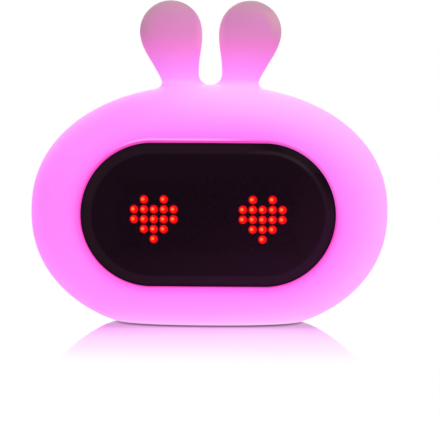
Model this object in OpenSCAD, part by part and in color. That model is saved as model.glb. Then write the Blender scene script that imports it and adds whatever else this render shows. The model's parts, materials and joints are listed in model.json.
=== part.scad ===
// Bedside alarm clock and night light for a child. A soft silicone body with two
// rabbit ears is lit from inside. It grips a sealed plastic clock with a dot display
// in front, and a speaker, five buttons, a switch and a charging socket behind.
//
// Millimetres. X runs to the right, Y to the back and Z up, and the front faces -Y.
// The origin is on the floor, under the middle of the body.

/* [Body] */
// Width of the silicone body
body_w = 148; // [146:0.5:152]
// Depth from the window's face to the back rim
body_d = 77; // [76:0.5:82]
// Height of the body without its ears
body_h = 98.5; // [97:0.5:102]
// Height of the widest line, where the window is centred
waist_z = 46; // [45:0.25:47.5]
// Squareness of the body's outline, where 2 is an ellipse
outline_power = 2.18; // [2.1:0.02:2.3]
// Thickness of the silicone wall
skin_t = 3; // [2.4:0.1:3.4]
// Thickness of the silicone lips that grip the clock
lip_t = 2.4; // [2:0.1:2.6]

/* [Ears] */
// Height of the ear tips above the top of the body
ear_h = 34.9; // [28:0.1:41]
// Width of an ear at its widest
ear_w = 25.8; // [22:0.2:28]
// Width of an ear at its root
ear_root_w = 15.3; // [13:0.1:18]
// Gap between the ears at their widest
ear_gap = 7.2; // [5:0.2:10]
// Outward lean of each ear, in degrees
ear_lean = 12; // [8:0.5:14]
// Thickness of an ear as a share of its width
ear_flatness = 0.62; // [0.5:0.02:0.8]
// Radius of the fillet at the root of an ear
ear_flare = 2.2; // [1:0.1:3]

/* [Window] */
// Width of the window's lens
window_w = 103; // [102:0.5:106]
// Height of the window's lens
window_h = 58; // [57:0.5:61]
// Thickness of the lens
lens_t = 2.4; // [2.1:0.1:2.8]
// Width of the bevel round the lens
bevel_w = 4.5; // [3:0.5:6]
// Depth of the bevel
bevel_t = 1.6; // [1:0.1:1.8]
// How far the lens stands out of the silicone
lens_proud = 1.2; // [0.8:0.1:1.6]

/* [Dot display] */
// Distance from one dot to the next
dot_pitch = 4; // [3.8:0.05:4]
// Diameter of the holes in the dot mask
dot_d = 3.6; // [3.1:0.1:3.6]
// Number of dot columns
dot_columns = 20; // [16:2:20]
// Number of dot rows
dot_rows = 8; // [7:1:8]
// Columns from the middle of one heart to the middle of the other
heart_spread = 11; // [9:2:11]

/* [Clock housing] */
// Wall thickness of the housing's tube
wall_t = 1.8; // [1.5:0.1:2.2]
// Thickness of the housing's front plate
plate_t = 2; // [1.6:0.1:2.4]
// Thickness of the back cover
cover_t = 2.5; // [2:0.1:3]
// How far the back cover lies below the silicone rim
cover_recess = 1.5; // [1:0.1:2]
// How far the lens and the back cover reach over the tube, to hold the silicone lips
lip_grip = 2.5; // [2:0.1:2.8]
// Clearance round the lens, the back cover and the tube
seat_gap = 0.3; // [0.2:0.05:0.4]
// Diameter of the screws that hold the back cover
case_screw_d = 2.6; // [2.4:0.1:3]
// Length of those screws under the head
case_screw_l = 22; // [18:0.5:24]

/* [Buttons] */
// Diameter of a button
button_d = 7; // [6:0.1:8]
// Distance from one button to the next
button_pitch = 12; // [11.5:0.1:12]
// Height of the button row above the window's centre
button_row_z = 11; // [10.5:0.1:11.5]
// How far a button stands out of the cover
button_proud = 1.2; // [0.9:0.1:1.4]
// How far a button travels
button_travel = 0.5; // [0.3:0.05:0.6]

/* [Power, charging and sound] */
// Diameter of the rechargeable cell
cell_d = 18.4; // [17.8:0.1:18.6]
// Length of the rechargeable cell
cell_l = 65; // [60:0.5:68]
// Diameter of the speaker
speaker_d = 26; // [24:0.2:26.4]
// How far the speaker cone moves either way
cone_travel = 0.4; // [0.2:0.05:0.5]
// Travel of the power switch
switch_travel = 2; // [1.5:0.1:2.2]
// Width of the charging socket's shell
socket_w = 8.94; // [8.8:0.02:9]
// Height of the charging socket's shell
socket_h = 3.26; // [3.1:0.02:3.4]

/* [Circuit boards] */
// Thickness of both boards
board_t = 1.6; // [1.2:0.1:1.8]
// Width of the main board
board_w = 56; // [54:0.5:56.5]
// Height of the main board
board_h = 40; // [39:0.5:41]
// Space between the display board and the front plate
display_stand = 3.6; // [3.4:0.1:4]
// Space between the main board and the back cover
main_stand = 9.4; // [9.2:0.1:10]
// Diameter of the small board screws
board_screw_d = 1.9; // [1.7:0.1:2]

/* [Light strip] */
// Width of the light strip round the housing
strip_w = 12; // [10:0.5:14]
// Thickness of the light strip
strip_t = 0.4; // [0.3:0.05:0.6]
// Side of one light on the strip
light_side = 5; // [4:0.5:5]
// Height of one light on the strip
light_h = 1.6; // [1.2:0.1:1.8]

/* [Hidden] */

$fn = 96;
small_fn = 48;
face_gap = 0.05;
slide_gap = 0.1;
pilot_play = 0.04;
screw_play = 0.2;
// How far a cut runs past the face that it starts from
cut = 1;
// Longer than any cut needs to be
beyond = 2 * body_w;

// Radii of the round ends, from the lens inwards. All share one straight length.
straight = window_w - window_h;
lens_r = window_h / 2;
pocket_r = lens_r + seat_gap;
plate_inset = 0.8;
plate_r = lens_r - plate_inset;
tube_r = lens_r - lip_grip;
tube_in_r = tube_r - wall_t;
rib_reach = 1.3;
rib_r = tube_r + rib_reach;
rib_w = 1.5;
step_depth = 1.5;
step_r = tube_r - step_depth;
step_in_r = step_r - wall_t;
cover_r = step_r + lip_grip;
back_pocket_r = cover_r + seat_gap;
skirt_play = 0.2;
skirt_r = step_in_r - skirt_play;
skirt_t = 1.5;
skirt_l = 3;

// Stations along Y, from the front to the back
tape_t = 0.5;
tape_inset = 0.2;
tape_reach = 0.4;
lens_y = -body_d / 2;
tape_y = lens_y + lens_t;
plate_y = tape_y + tape_t;
tube_y = plate_y + plate_t;
front_rim_y = lens_y + lens_proud;
front_lip_y = tube_y + face_gap;
rib_y = front_lip_y + lip_t + face_gap;
display_y = tube_y + display_stand;
display_back_y = display_y + board_t;
back_rim_y = body_d / 2;
cover_out_y = back_rim_y - cover_recess;
cover_in_y = cover_out_y - cover_t;
back_lip_y = cover_in_y - face_gap - lip_t;
step_y = back_lip_y - face_gap;
main_out_y = cover_in_y - main_stand;
main_in_y = main_out_y - board_t;

// Silicone body
around_n = 72;
ring_n = 8;
inner_ring_n = 4;
skin_power = 2.2;
mouth_power = 3;
mouth_inset = 2;
crown_h = body_h - waist_z;
// The body's outline runs this far below the floor, which cuts its flat sole
sole_cut = 6.5;

// Ears. s runs up an ear's own axis from its widest line, and meets the body at ear_foot.
ear_r = ear_w / 2;
ear_tip_z = body_h + ear_h;
ear_wide_z = ear_tip_z - ear_r;
ear_wide_x = ear_gap / 2 + ear_r;
ear_seat = 1.1;
ear_foot = -(ear_wide_z - body_h + ear_seat) / cos(ear_lean);
ear_neck = 0.3;
ear_fall = ear_neck - ear_foot;
ear_sink = 6;
// Slope of the body under an ear, and how far up the ear its slices turn to its own lean
body_slope = 4.6;
ear_turn_l = 5;
fillet_stops = [0, 0.15, 0.35, 0.6];
ear_side_steps = 6;
ear_tip_step = 14;
ear_tip_end = 84;
ear_fn = 28;
slice_t = 0.02;

// Dots, and the heart that they draw
mask_edge = 2.4;
mask_w = (dot_columns - 1) * dot_pitch + 2 * mask_edge;
mask_h = (dot_rows - 1) * dot_pitch + 2 * mask_edge;
mask_corner = 3;
mask_play = 0.4;
mask_gap = 0.3;
mask_y = plate_y + mask_gap;
dot_play = 0.1;
dot_sink = 0.3;
dot_r = dot_d / 2 - dot_play;
dot_l = display_y - mask_y - dot_sink;
heart_top_row = 2;
heart_half = 2;

// Display board
display_r = tube_in_r - 2.2;
display_screw_x = 28;
display_screw_edge = 3.2;
display_screw_at = [display_screw_x, display_r - display_screw_edge];
display_tip_gap = 0.3;
board_head_d = 3.6;
board_head_h = 1.3;
standoff_wall = 1.25;

// Cross in a screw's head, as shares of the head's height and diameter
cross_deep = 0.55;
cross_long = 0.6;
cross_wide = 0.16;

// Case screws: each joins a boss on the housing to a pillar on the back cover
pillar_r = 4.2;
pillar_over = 0.3;
boss_reach = skirt_r - skirt_t - pillar_r + pillar_over;
boss_angle = 52;
boss_at = [straight / 2 + boss_reach * cos(boss_angle), boss_reach * sin(boss_angle)];
boss_wall = 2.1;
boss_r = case_screw_d / 2 + boss_wall;
boss_space = 1.5;
boss_y = main_in_y - boss_space;
head_d = 5.6;
head_h = 2;
head_sink = 4;
seat_y = cover_out_y - head_sink;
screw_tip_y = seat_y - case_screw_l;
screw_tip_gap = 0.5;
boss_floor = 1.5;
boss_tip_y = screw_tip_y - screw_tip_gap - boss_floor;
web_t = 2;

// Cell, its saddles and its clamp
cell_r = cell_d / 2;
cell_y = -6;
cell_z = -12;
pad_t = 0.8;
pad_turn = 65;
saddle_x = 18;
saddle_w = 2.5;
saddle_wall = 1.5;
saddle_half = cell_r + pad_t + saddle_wall;
saddle_drop = 3.4;
saddle_top_z = cell_z - saddle_drop;
floor_z = -tube_in_r - wall_t / 2;
clamp_t = 1.6;
clamp_w = 8;
clamp_r = cell_r + face_gap;
post_r = 2.6;
post_y = clamp_r + clamp_t + post_r;
clamp_bite = 6;

// Light strip, and the slot that its leads go in by
strip_y = -8;
strip_end_y = strip_y + strip_w;
strip_r = tube_r + strip_t;
slot_size = [8, 3];
slot_x = 10;
slot_space = 2.5;
slot_y = strip_end_y + slot_space;
light_turn = 36;

// Places on the back cover, from the window's centre
speaker_at = [-13, -8];
switch_at = [8, -9];
socket_at = [21.5, -9];
pipe_at = [21.5, -1.5];
panel_margin = 5;
button_panel = [4 * button_pitch + 2 * panel_margin, 12];
panel_sink = 0.6;
panel_corner = 5.9;
grille_hole_d = 1.6;
grille_pitch = 2.9;
grille_rings = 3;
grille_dish_r = 11;
grille_dish_t = 0.4;
socket_play = 0.35;
plug_size = [12.4, 6.6];
plug_corner = 2;
plug_sink = 1;

// Buttons, and the small switches under them
tact_side = 6;
tact_h = 3.5;
tact_top_y = main_out_y + tact_h;
plunger_r = 1.75;
plunger_h = 1.5;
plunger_sink = 0.7;
plunger_floor = 0.2;
plunger_y = tact_top_y + plunger_h;
flange_t = 1.2;
flange_over = 0.8;
flange_r = button_d / 2 + flange_over;
flange_y = cover_in_y - face_gap - flange_t;
stem_r = 1.6;
cap_round = 0.8;

// Main board, with its screws clear of the outer buttons
main_screw_edge = 2.5;
main_screw_gap = 0.2;
main_post_r = board_screw_d / 2 + standoff_wall;
main_screw_at = [
    board_w / 2 - main_screw_edge,
    button_row_z + flange_r + main_post_r + main_screw_gap
];
main_bite = 5;
main_corner = 2;

// Slide switch and its knob. The knob starts at the left end of its travel.
switch_size = [8.6, 3.7];
switch_h = 3.5;
switch_top_y = main_out_y + switch_h;
lever_side = 1.4;
lever_sink = 1.2;
lever_floor = 0.3;
lever_l = 4;
lever_tip_gap = 0.1;
knob_x = switch_at[0] - switch_travel / 2;
knob_size = [3.6, 2.4];
knob_proud = 0.8;
knob_plate = [9.4, 4.6];
knob_plate_t = 1;
knob_boss = 3.4;
knob_lift = 0.4;
grip_w = 0.4;
grip_t = 0.3;

// Charging socket, and the light beside it
socket_wall = 0.3;
socket_reach = 1.1;
socket_end_y = cover_in_y + socket_reach;
tongue_size = [6.7, 0.7];
tongue_base_t = 1.4;
tongue_sink = 0.8;
pipe_r = 1;
collar_r = 1.8;
collar_t = 0.8;
charge_size = [1.6, 0.8];
charge_h = 0.6;

// Speaker, from its gasket forwards
speaker_r = speaker_d / 2;
speaker_ring_wall = 1.1;
gasket_t = 1;
gasket_w = 1.4;
mesh_t = 0.15;
surround_t = 0.2;
surround_w = 2.2;
roll_r = 0.38;
basket_y = cover_in_y - gasket_t - surround_t;
basket_flange_t = 1.2;
basket_flange_w = 1.5;
basket_wall = 0.8;
basket_h = 4;
basket_back_y = basket_y - basket_h;
cup_r = speaker_r - basket_flange_w;
coil_r = 4.9;
coil_t = 0.4;
coil_h = 3.2;
coil_play = 0.4;
cone_play = 0.3;
cone_r = speaker_r - surround_w - cone_play;
cone_t = 0.4;
cone_drop = 1.2;
coil_end_y = basket_y - cone_play - cone_drop;
coil_y = coil_end_y - coil_h;
magnet_r = 8;
magnet_floor = 0.8;
magnet_slot_y = coil_y - cone_travel - coil_play;
magnet_y = magnet_slot_y - magnet_floor;
terminal_size = [5, 2.6];
terminal_z = 9.6;
terminal_h = 0.8;

// Parts on the inner faces of the boards
connector_h = 5;
connector_t = 4.6;
ribbon_at = [-12, 13];
ribbon_w = 10;
ribbon_t = 0.5;
ribbon_sag = 3;
ribbon_steps = 20;
battery_plug_at = [14, -14];
strip_plug_at = [slot_x, 15];
plug_w = 8;
plug_face_y = main_in_y - connector_h;
sensor_at = [-21.5, 5];
sensor_r = 2.4;
sensor_l = 9;
crystal_at = [8, 6.5];
crystal_r = 1;
crystal_l = 6;
capacitor_r = 2.5;
capacitor_h = 5.4;
capacitor_at = [20, 3];
capacitor_pitch = 7;
chip_h = 1.6;
// Each main chip as its place and its size
main_chip_list = [
    [[-2, 0], [10, 10]],
    [[-14, -1], [5.2, 5.2]],
    [[-14, -10], [5, 4]],
    [[4, -12], [4, 5]],
    [[8, 1], [4, 5]]
];
driver_at = [-4, 0];
driver_size = [15.4, 7.5];
driver_pitch = 24;

// Insulated leads
lead_r = 0.55;
lead_sides = 8;
lead_steps = 4;
lead_pitch = 1.6;
terminal_pitch = 1.9;
lead_straight = 0.8;
lead_bow = 0.7;

skin_pink = [1, 0.56, 0.98];
lens_black = [0.07, 0.05, 0.07];
case_white = [0.94, 0.94, 0.93];
plastic_black = [0.1, 0.1, 0.11];
board_green = [0.08, 0.32, 0.18];
nylon_white = [0.9, 0.88, 0.82];
metal_grey = [0.75, 0.76, 0.78];
dot_red = [1, 0.1, 0.1];
dot_grey = [0.36, 0.33, 0.34];
cell_blue = [0.2, 0.42, 0.7];
foam_grey = [0.3, 0.3, 0.32];
button_grey = [0.8, 0.8, 0.82];

// ---------- Shared shapes ----------

// Extrudes an outline, drawn in x and z from the window's centre, from y0 back to y1
module slab(y0, y1) {
    translate([0, y1, waist_z])
        rotate([90, 0, 0])
            linear_extrude(y1 - y0)
                children();
}

// A flat outline with two round ends of radius r
module stadium(r) {
    square([straight, 2 * r], center = true);
    for (side = [-1, 1])
        translate([side * straight / 2, 0])
            circle(r);
}

// The flat ring between two such outlines
module stadium_ring(r_out, r_in) {
    difference() {
        stadium(r_out);
        stadium(r_in);
    }
}

// A rectangle with round corners, centred
module soft_rect(size, r) {
    square([size[0] - 2 * r, size[1]], center = true);
    square([size[0], size[1] - 2 * r], center = true);
    for (x = [-1, 1], z = [-1, 1])
        translate([x * (size[0] / 2 - r), z * (size[1] / 2 - r)])
            circle(r, $fn = small_fn);
}

// A round bar along Y at [x, z] from the window's centre
module bar(at, y0, y1, r) {
    slab(y0, y1)
        translate(at)
            circle(r, $fn = small_fn);
}

// A box at [x, z] from the window's centre
module block(at, y0, y1, size) {
    slab(y0, y1)
        translate(at)
            square(size, center = true);
}

// Moves a solid by [x, z]
module shifted(at) {
    translate([at[0], 0, at[1]])
        children();
}

// Copies at the four mirrored places of [x, z]
module four(at) {
    for (x = [-1, 1], z = [-1, 1])
        shifted([x * at[0], z * at[1]])
            children();
}

// Stands a solid drawn along +Z at [x, z] from the window's centre, pointing along dir * Y
module facing(at, y, dir) {
    translate([at[0], y, waist_z + at[1]])
        rotate([-90 * dir, 0, 0])
            children();
}

// Turns a solid about the window's axis, from +X towards +Z
module turned(angle) {
    translate([0, 0, waist_z])
        rotate([0, -angle, 0])
            translate([0, 0, -waist_z])
                children();
}

// Lays a shape that turns about Z along the cell, so that its angle 0 points down
module along_cell(x) {
    translate([x, cell_y, waist_z + cell_z])
        rotate([0, 90, 0])
            children();
}

// A pan-head screw: its head stands on z = 0 and its shank hangs below
module screw(d, length, head, head_t) {
    recess = head_t * cross_deep;
    difference() {
        union() {
            translate([0, 0, -length])
                cylinder(h = length, d = d, $fn = small_fn);
            cylinder(h = head_t, d = head, $fn = small_fn);
        }
        for (turn = [0, 90])
            rotate(turn)
                translate([-head * cross_long / 2, -head * cross_wide / 2, head_t - recess])
                    cube([head * cross_long, head * cross_wide, head_t]);
    }
}

module board_screw(bite) {
    screw(board_screw_d, board_t + bite, board_head_d, board_head_h);
}

// ---------- Leads ----------

function unit(v) = v / norm(v);

function spline_point(a, b, c, d, t) =
    b + 0.5 * t * (c - a + t * (2 * a - 5 * b + 4 * c - d + t * (3 * b - 3 * c + d - a)));

// Points along a smooth curve through the stops, with lead_steps points in each stretch
function smooth_route(stops) =
    let (last = len(stops) - 1)
    concat(
        [
            for (i = [0 : last - 1], k = [0 : lead_steps - 1])
                spline_point(
                    stops[max(i - 1, 0)], stops[i], stops[i + 1], stops[min(i + 2, last)],
                    k / lead_steps
                )
        ],
        [stops[last]]
    );

// A round lead swept along a smooth curve through the stops, given from the window's centre
module lead(stops) {
    route = smooth_route(stops);
    last = len(route) - 1;
    ahead = [for (i = [0 : last]) unit(route[min(i + 1, last)] - route[max(i - 1, 0)])];
    side = [for (t = ahead) unit(cross(t, abs(t[2]) < 0.7 ? [0, 0, 1] : [1, 0, 0]))];
    points = [
        for (i = [0 : last], k = [0 : lead_sides - 1])
            let (a = 360 * k / lead_sides)
            route[i] + lead_r * (cos(a) * side[i] + sin(a) * cross(ahead[i], side[i]))
    ];
    walls = [
        for (i = [0 : last - 1], k = [0 : lead_sides - 1])
            let (a = i * lead_sides + k, b = i * lead_sides + (k + 1) % lead_sides)
            each [[a, b + lead_sides, b], [a, a + lead_sides, b + lead_sides]]
    ];
    start = [for (k = [0 : lead_sides - 1]) k];
    end = [for (k = [lead_sides - 1 : -1 : 0]) last * lead_sides + k];
    translate([0, 0, waist_z])
        polyhedron(points, concat([start], walls, [end]));
}

// ---------- Silicone body ----------

// How far an oval of the given half sizes reaches from its centre at angle a
function oval_reach(a, half_w, half_h, power) =
    pow(pow(abs(cos(a)) / half_w, power) + pow(abs(sin(a)) / half_h, power), -1 / power);

// A point of a pillow form: q is -90 at the front mouth, 0 at the waist and 90 at the back mouth
function pillow_point(a, q, front, back, inset) =
    let (
        mouth = q < 0 ? front : back,
        out = pow(cos(q), 2 / skin_power),
        away = pow(abs(sin(q)), 2 / skin_power),
        near = oval_reach(a, straight / 2 + mouth[0], mouth[0], mouth_power),
        tall = sin(a) < 0 ? waist_z + sole_cut : crown_h,
        far = oval_reach(a, body_w / 2 - inset, tall - inset, outline_power),
        reach = near + (far - near) * out
    )
    [reach * cos(a), mouth[1] * away, waist_z + reach * sin(a)];

// A closed form that swells from the front mouth, given as [end radius, y], to the waist and
// back in to the back mouth
module pillow(front, back, inset, rings) {
    points = [
        for (j = [-rings : rings], i = [0 : around_n - 1])
            pillow_point(360 * i / around_n, 90 * j / rings, front, back, inset)
    ];
    walls = [
        for (j = [0 : 2 * rings - 1], i = [0 : around_n - 1])
            let (a = j * around_n + i, b = j * around_n + (i + 1) % around_n)
            each [[a, b, b + around_n], [a, b + around_n, a + around_n]]
    ];
    front_face = [for (i = [around_n - 1 : -1 : 0]) i];
    back_face = [for (i = [0 : around_n - 1]) 2 * rings * around_n + i];
    polyhedron(points, concat([front_face], walls, [back_face]));
}

// Extra half width of an ear at s, where it flares out into the body
function ear_fillet(s) =
    let (above = min(max(s - ear_foot, 0), ear_flare))
    ear_flare - sqrt(pow(ear_flare, 2) - pow(ear_flare - above, 2));

// Half width of an ear at s
function ear_half(s) =
    s >= 0 ? sqrt(pow(ear_r, 2) - s * s)
    : ear_root_w / 2 + ear_fillet(s) + (ear_r - ear_root_w / 2) * (1 + cos(180 * max(s / ear_fall, -1))) / 2;

// The heights that an ear is sliced at
ear_slices = concat(
    [ear_foot - ear_sink],
    [for (k = fillet_stops) ear_foot + k * ear_flare],
    [for (k = [0 : ear_side_steps - 1]) (ear_foot + ear_flare) * (1 - k / ear_side_steps)],
    [for (a = [0 : ear_tip_step : ear_tip_end]) ear_r * sin(a)],
    [ear_r * sin((ear_tip_end + 90) / 2)]
);

// Turn of the slice at s: it lies on the body at the foot and square to the ear's axis above
function ear_turn(s) =
    let (share = min(max((s - ear_foot) / ear_turn_l, 0), 1))
    body_slope + (ear_lean - body_slope) * share;

module ear_slice(s) {
    translate([s * sin(ear_lean), 0, s * cos(ear_lean)])
        rotate([0, ear_turn(s), 0])
            scale([1, ear_flatness, 1])
                cylinder(h = slice_t, r = ear_half(s), $fn = ear_fn);
}

// The right ear, solid, with its root sunk into the top of the body
module ear() {
    translate([ear_wide_x, 0, ear_wide_z])
        for (i = [0 : len(ear_slices) - 2])
            hull() {
                ear_slice(ear_slices[i]);
                ear_slice(ear_slices[i + 1]);
            }
}

// The soft body: one hollow moulding with both ears, and a lip round each opening
module silicone_shell() {
    color(skin_pink)
        difference() {
            union() {
                pillow(
                    [pocket_r - mouth_inset, front_rim_y], [back_pocket_r - mouth_inset, back_rim_y],
                    0, ring_n
                );
                ear();
                mirror([1, 0, 0])
                    ear();
            }
            intersection() {
                pillow(
                    [pocket_r, front_lip_y + lip_t], [back_pocket_r, back_lip_y], skin_t, inner_ring_n
                );
                translate([-beyond / 2, -beyond / 2, skin_t])
                    cube([beyond, beyond, body_h]);
            }
            slab(-beyond, front_lip_y)
                stadium(pocket_r);
            slab(-beyond, 0)
                stadium(tube_r + seat_gap);
            slab(0, beyond)
                stadium(step_r + seat_gap);
            slab(back_lip_y + lip_t, beyond)
                stadium(back_pocket_r);
            translate([-beyond / 2, -beyond / 2, -beyond])
                cube([beyond, beyond, beyond]);
        }
}

// ---------- Window and display ----------

// The smoked lens, with a bevel all round its front
module display_lens() {
    edge_y = lens_y + bevel_t;
    color(lens_black)
        union() {
            for (side = [-1, 1])
                facing([side * straight / 2, 0], tape_y, -1)
                    rotate_extrude()
                        polygon([
                            [0, 0],
                            [lens_r, 0],
                            [lens_r, lens_t - bevel_t],
                            [lens_r - bevel_w, lens_t],
                            [0, lens_t]
                        ]);
            translate([-straight / 2, 0, waist_z])
                rotate([90, 0, 90])
                    linear_extrude(straight)
                        polygon([
                            [tape_y, -lens_r],
                            [tape_y, lens_r],
                            [edge_y, lens_r],
                            [lens_y, lens_r - bevel_w],
                            [lens_y, -lens_r + bevel_w],
                            [edge_y, -lens_r]
                        ]);
        }
}

// Foam tape that seals the lens to the housing
module lens_tape() {
    color(plastic_black)
        slab(tape_y, plate_y)
            stadium_ring(plate_r - tape_inset, tube_in_r - tape_reach);
}

// True where a heart has a dot, x columns from its middle and y rows below its top
function in_heart(x, y) =
    y == 0 ? abs(x) == heart_half - 1
    : y <= heart_half ? abs(x) <= heart_half
    : abs(x) <= 2 * heart_half - y;

function is_lit(column, row) =
    let (
        middle = (dot_columns - 1) / 2,
        side = column < middle ? -1 : 1,
        x = column - middle - side * heart_spread / 2,
        y = row - heart_top_row
    )
    abs(x) <= heart_half && y >= 0 && y <= 2 * heart_half && in_heart(x, y);

function dot_at(column, row) = [
    (column - (dot_columns - 1) / 2) * dot_pitch,
    ((dot_rows - 1) / 2 - row) * dot_pitch
];

// Black grid with one hole for each dot
module dot_mask() {
    color(plastic_black)
        slab(mask_y, display_y)
            difference() {
                soft_rect([mask_w, mask_h], mask_corner);
                for (column = [0 : dot_columns - 1], row = [0 : dot_rows - 1])
                    translate(dot_at(column, row))
                        circle(d = dot_d, $fn = small_fn);
            }
}

// One light-emitting diode with a round nose
module dot() {
    rotate_extrude($fn = small_fn)
        intersection() {
            union() {
                square([dot_r, dot_l - dot_r]);
                translate([0, dot_l - dot_r])
                    circle(dot_r, $fn = small_fn);
            }
            square([dot_r, dot_l]);
        }
}

module dots(lit) {
    for (column = [0 : dot_columns - 1], row = [0 : dot_rows - 1])
        if (is_lit(column, row) == lit)
            facing(dot_at(column, row), display_y, -1)
                dot();
}

module lit_dots() {
    color(dot_red)
        dots(true);
}

module dark_dots() {
    color(dot_grey)
        dots(false);
}

module display_board() {
    color(board_green)
        difference() {
            slab(display_y, display_back_y)
                stadium(display_r);
            four(display_screw_at)
                bar([0, 0], display_y - cut, display_back_y + cut, board_screw_d / 2 + screw_play);
        }
}

// Row and column driver chips on the back of the display board
module driver_chips() {
    color(plastic_black)
        for (i = [-1 : 1])
            block(
                driver_at + [i * driver_pitch, 0], display_back_y, display_back_y + chip_h, driver_size
            );
}

module display_screws() {
    color(metal_grey)
        for (x = [-1, 1], z = [-1, 1])
            facing([x * display_screw_at[0], z * display_screw_at[1]], display_back_y, 1)
                board_screw(display_stand - display_tip_gap);
}

// ---------- Housing ----------

// Flat webs that tie the screw bosses to the tube
module boss_webs() {
    slab(boss_tip_y, boss_y)
        for (x = [-1, 1], z = [-1, 1])
            translate([x * straight / 2, 0])
                rotate(atan2(z * sin(boss_angle), x * cos(boss_angle)))
                    translate([boss_reach, -web_t / 2])
                        square([tube_in_r + wall_t / 2 - boss_reach, web_t]);
}

// Two ribs on the tube's floor, hollowed to take the cell and its pads
module saddles() {
    for (side = [-1, 1])
        difference() {
            translate([side * saddle_x - saddle_w / 2, cell_y - saddle_half, waist_z + floor_z])
                cube([saddle_w, 2 * saddle_half, saddle_top_z - floor_z]);
            along_cell(side * saddle_x - saddle_w)
                cylinder(h = 2 * saddle_w, r = cell_r + pad_t);
        }
}

// Copies at the two screws of the cell clamp
module clamp_places(z) {
    for (side = [-1, 1])
        translate([0, cell_y + side * post_y, waist_z + z])
            children();
}

// White tube with a front plate, four screw bosses and the cell's seat
module front_housing() {
    tube_end_y = cover_in_y - face_gap;
    color(case_white)
        difference() {
            union() {
                slab(plate_y, tube_y)
                    difference() {
                        stadium(plate_r);
                        soft_rect(
                            [mask_w + 2 * mask_play, mask_h + 2 * mask_play], mask_corner + mask_play
                        );
                    }
                slab(tube_y, step_y)
                    stadium_ring(tube_r, tube_in_r);
                slab(rib_y, rib_y + rib_w)
                    stadium_ring(rib_r, tube_r - wall_t / 2);
                slab(step_y - wall_t, step_y)
                    stadium_ring(tube_r, step_in_r);
                slab(step_y, tube_end_y)
                    stadium_ring(step_r, step_in_r);
                four(display_screw_at)
                    bar([0, 0], tube_y, display_y, board_screw_d / 2 + standoff_wall);
                four(boss_at)
                    bar([0, 0], boss_tip_y, boss_y, boss_r);
                boss_webs();
                saddles();
                clamp_places(floor_z)
                    cylinder(h = cell_z - floor_z, r = post_r, $fn = small_fn);
            }
            four(display_screw_at)
                bar([0, 0], tube_y - plate_t / 2, display_y + cut, board_screw_d / 2 + pilot_play);
            four(boss_at)
                bar([0, 0], screw_tip_y - screw_tip_gap, boss_y + cut, case_screw_d / 2 + pilot_play);
            clamp_places(cell_z - clamp_bite - cut)
                cylinder(h = clamp_bite + 2 * cut, r = board_screw_d / 2 + pilot_play, $fn = small_fn);
            translate([slot_x - slot_size[0] / 2, slot_y, waist_z + tube_in_r - cut])
                cube([slot_size[0], slot_size[1], wall_t + 2 * cut]);
        }
}

// ---------- Light strip ----------

// Flexible strip glued round the middle of the tube
module light_strip() {
    color(nylon_white)
        slab(strip_y, strip_end_y)
            stadium_ring(strip_r, tube_r);
}

// One light of the strip, standing out along +X
module strip_light() {
    translate([strip_r, strip_y + (strip_w - light_side) / 2, waist_z - light_side / 2])
        cube([light_h, light_side, light_side]);
}

// Five lights round each end, and three along the top and the bottom
module strip_lights() {
    color("white") {
        for (side = [0, 180], a = [-2 * light_turn : light_turn : 2 * light_turn])
            translate([cos(side) * straight / 2, 0, 0])
                turned(side + a)
                    strip_light();
        for (side = [90, 270], i = [-1 : 1])
            translate([i * straight / 3, 0, 0])
                turned(side)
                    strip_light();
    }
}

// ---------- Cell ----------

module battery_cell() {
    color(cell_blue)
        along_cell(-cell_l / 2)
            cylinder(h = cell_l, r = cell_r);
}

// Foam between the cell and its saddles
module battery_pads() {
    color(foam_grey)
        for (side = [-1, 1])
            along_cell(side * saddle_x - saddle_w / 2)
                rotate(-pad_turn)
                    rotate_extrude(angle = 2 * pad_turn)
                        translate([cell_r, 0])
                            square([pad_t, saddle_w]);
}

// Plastic arch over the cell, with a screwed foot on either side
module battery_clamp() {
    foot_in = clamp_r + clamp_t / 2;
    foot_l = post_y + post_r - foot_in;
    color(case_white)
        difference() {
            union() {
                along_cell(-clamp_w / 2)
                    rotate(90)
                        rotate_extrude(angle = 180)
                            translate([clamp_r, 0])
                                square([clamp_t, clamp_w]);
                for (side = [-1, 1])
                    translate([0, cell_y + side * (foot_in + foot_l / 2), waist_z + cell_z + clamp_t / 2])
                        cube([clamp_w, foot_l, clamp_t], center = true);
            }
            clamp_places(cell_z - cut)
                cylinder(h = clamp_t + 2 * cut, r = board_screw_d / 2 + screw_play, $fn = small_fn);
        }
}

module clamp_screws() {
    color(metal_grey)
        clamp_places(cell_z + clamp_t)
            screw(board_screw_d, clamp_t + clamp_bite, board_head_d, board_head_h);
}

// ---------- Main board ----------

module main_board() {
    color(board_green)
        difference() {
            slab(main_in_y, main_out_y)
                soft_rect([board_w, board_h], main_corner);
            four(main_screw_at)
                bar([0, 0], main_in_y - cut, main_out_y + cut, board_screw_d / 2 + screw_play);
        }
}

// Processor, sound memory, amplifier, charger and clock chips
module main_chips() {
    color(plastic_black)
        for (chip = main_chip_list)
            block(chip[0], main_in_y - chip_h, main_in_y, chip[1]);
}

module board_capacitors() {
    color(metal_grey)
        for (i = [-1 : 1])
            bar(
                capacitor_at + [0, i * capacitor_pitch], main_in_y - capacitor_h, main_in_y, capacitor_r
            );
}

// A can lying on the board along X
module lying_can(at, r, length) {
    translate([at[0] - length / 2, main_in_y - r, waist_z + at[1]])
        rotate([0, 90, 0])
            cylinder(h = length, r = r, $fn = small_fn);
}

// Feels the tap that puts the alarm to sleep
module tap_sensor() {
    color(plastic_black)
        lying_can(sensor_at, sensor_r, sensor_l);
}

module clock_crystal() {
    color(metal_grey)
        lying_can(crystal_at, crystal_r, crystal_l);
}

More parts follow.
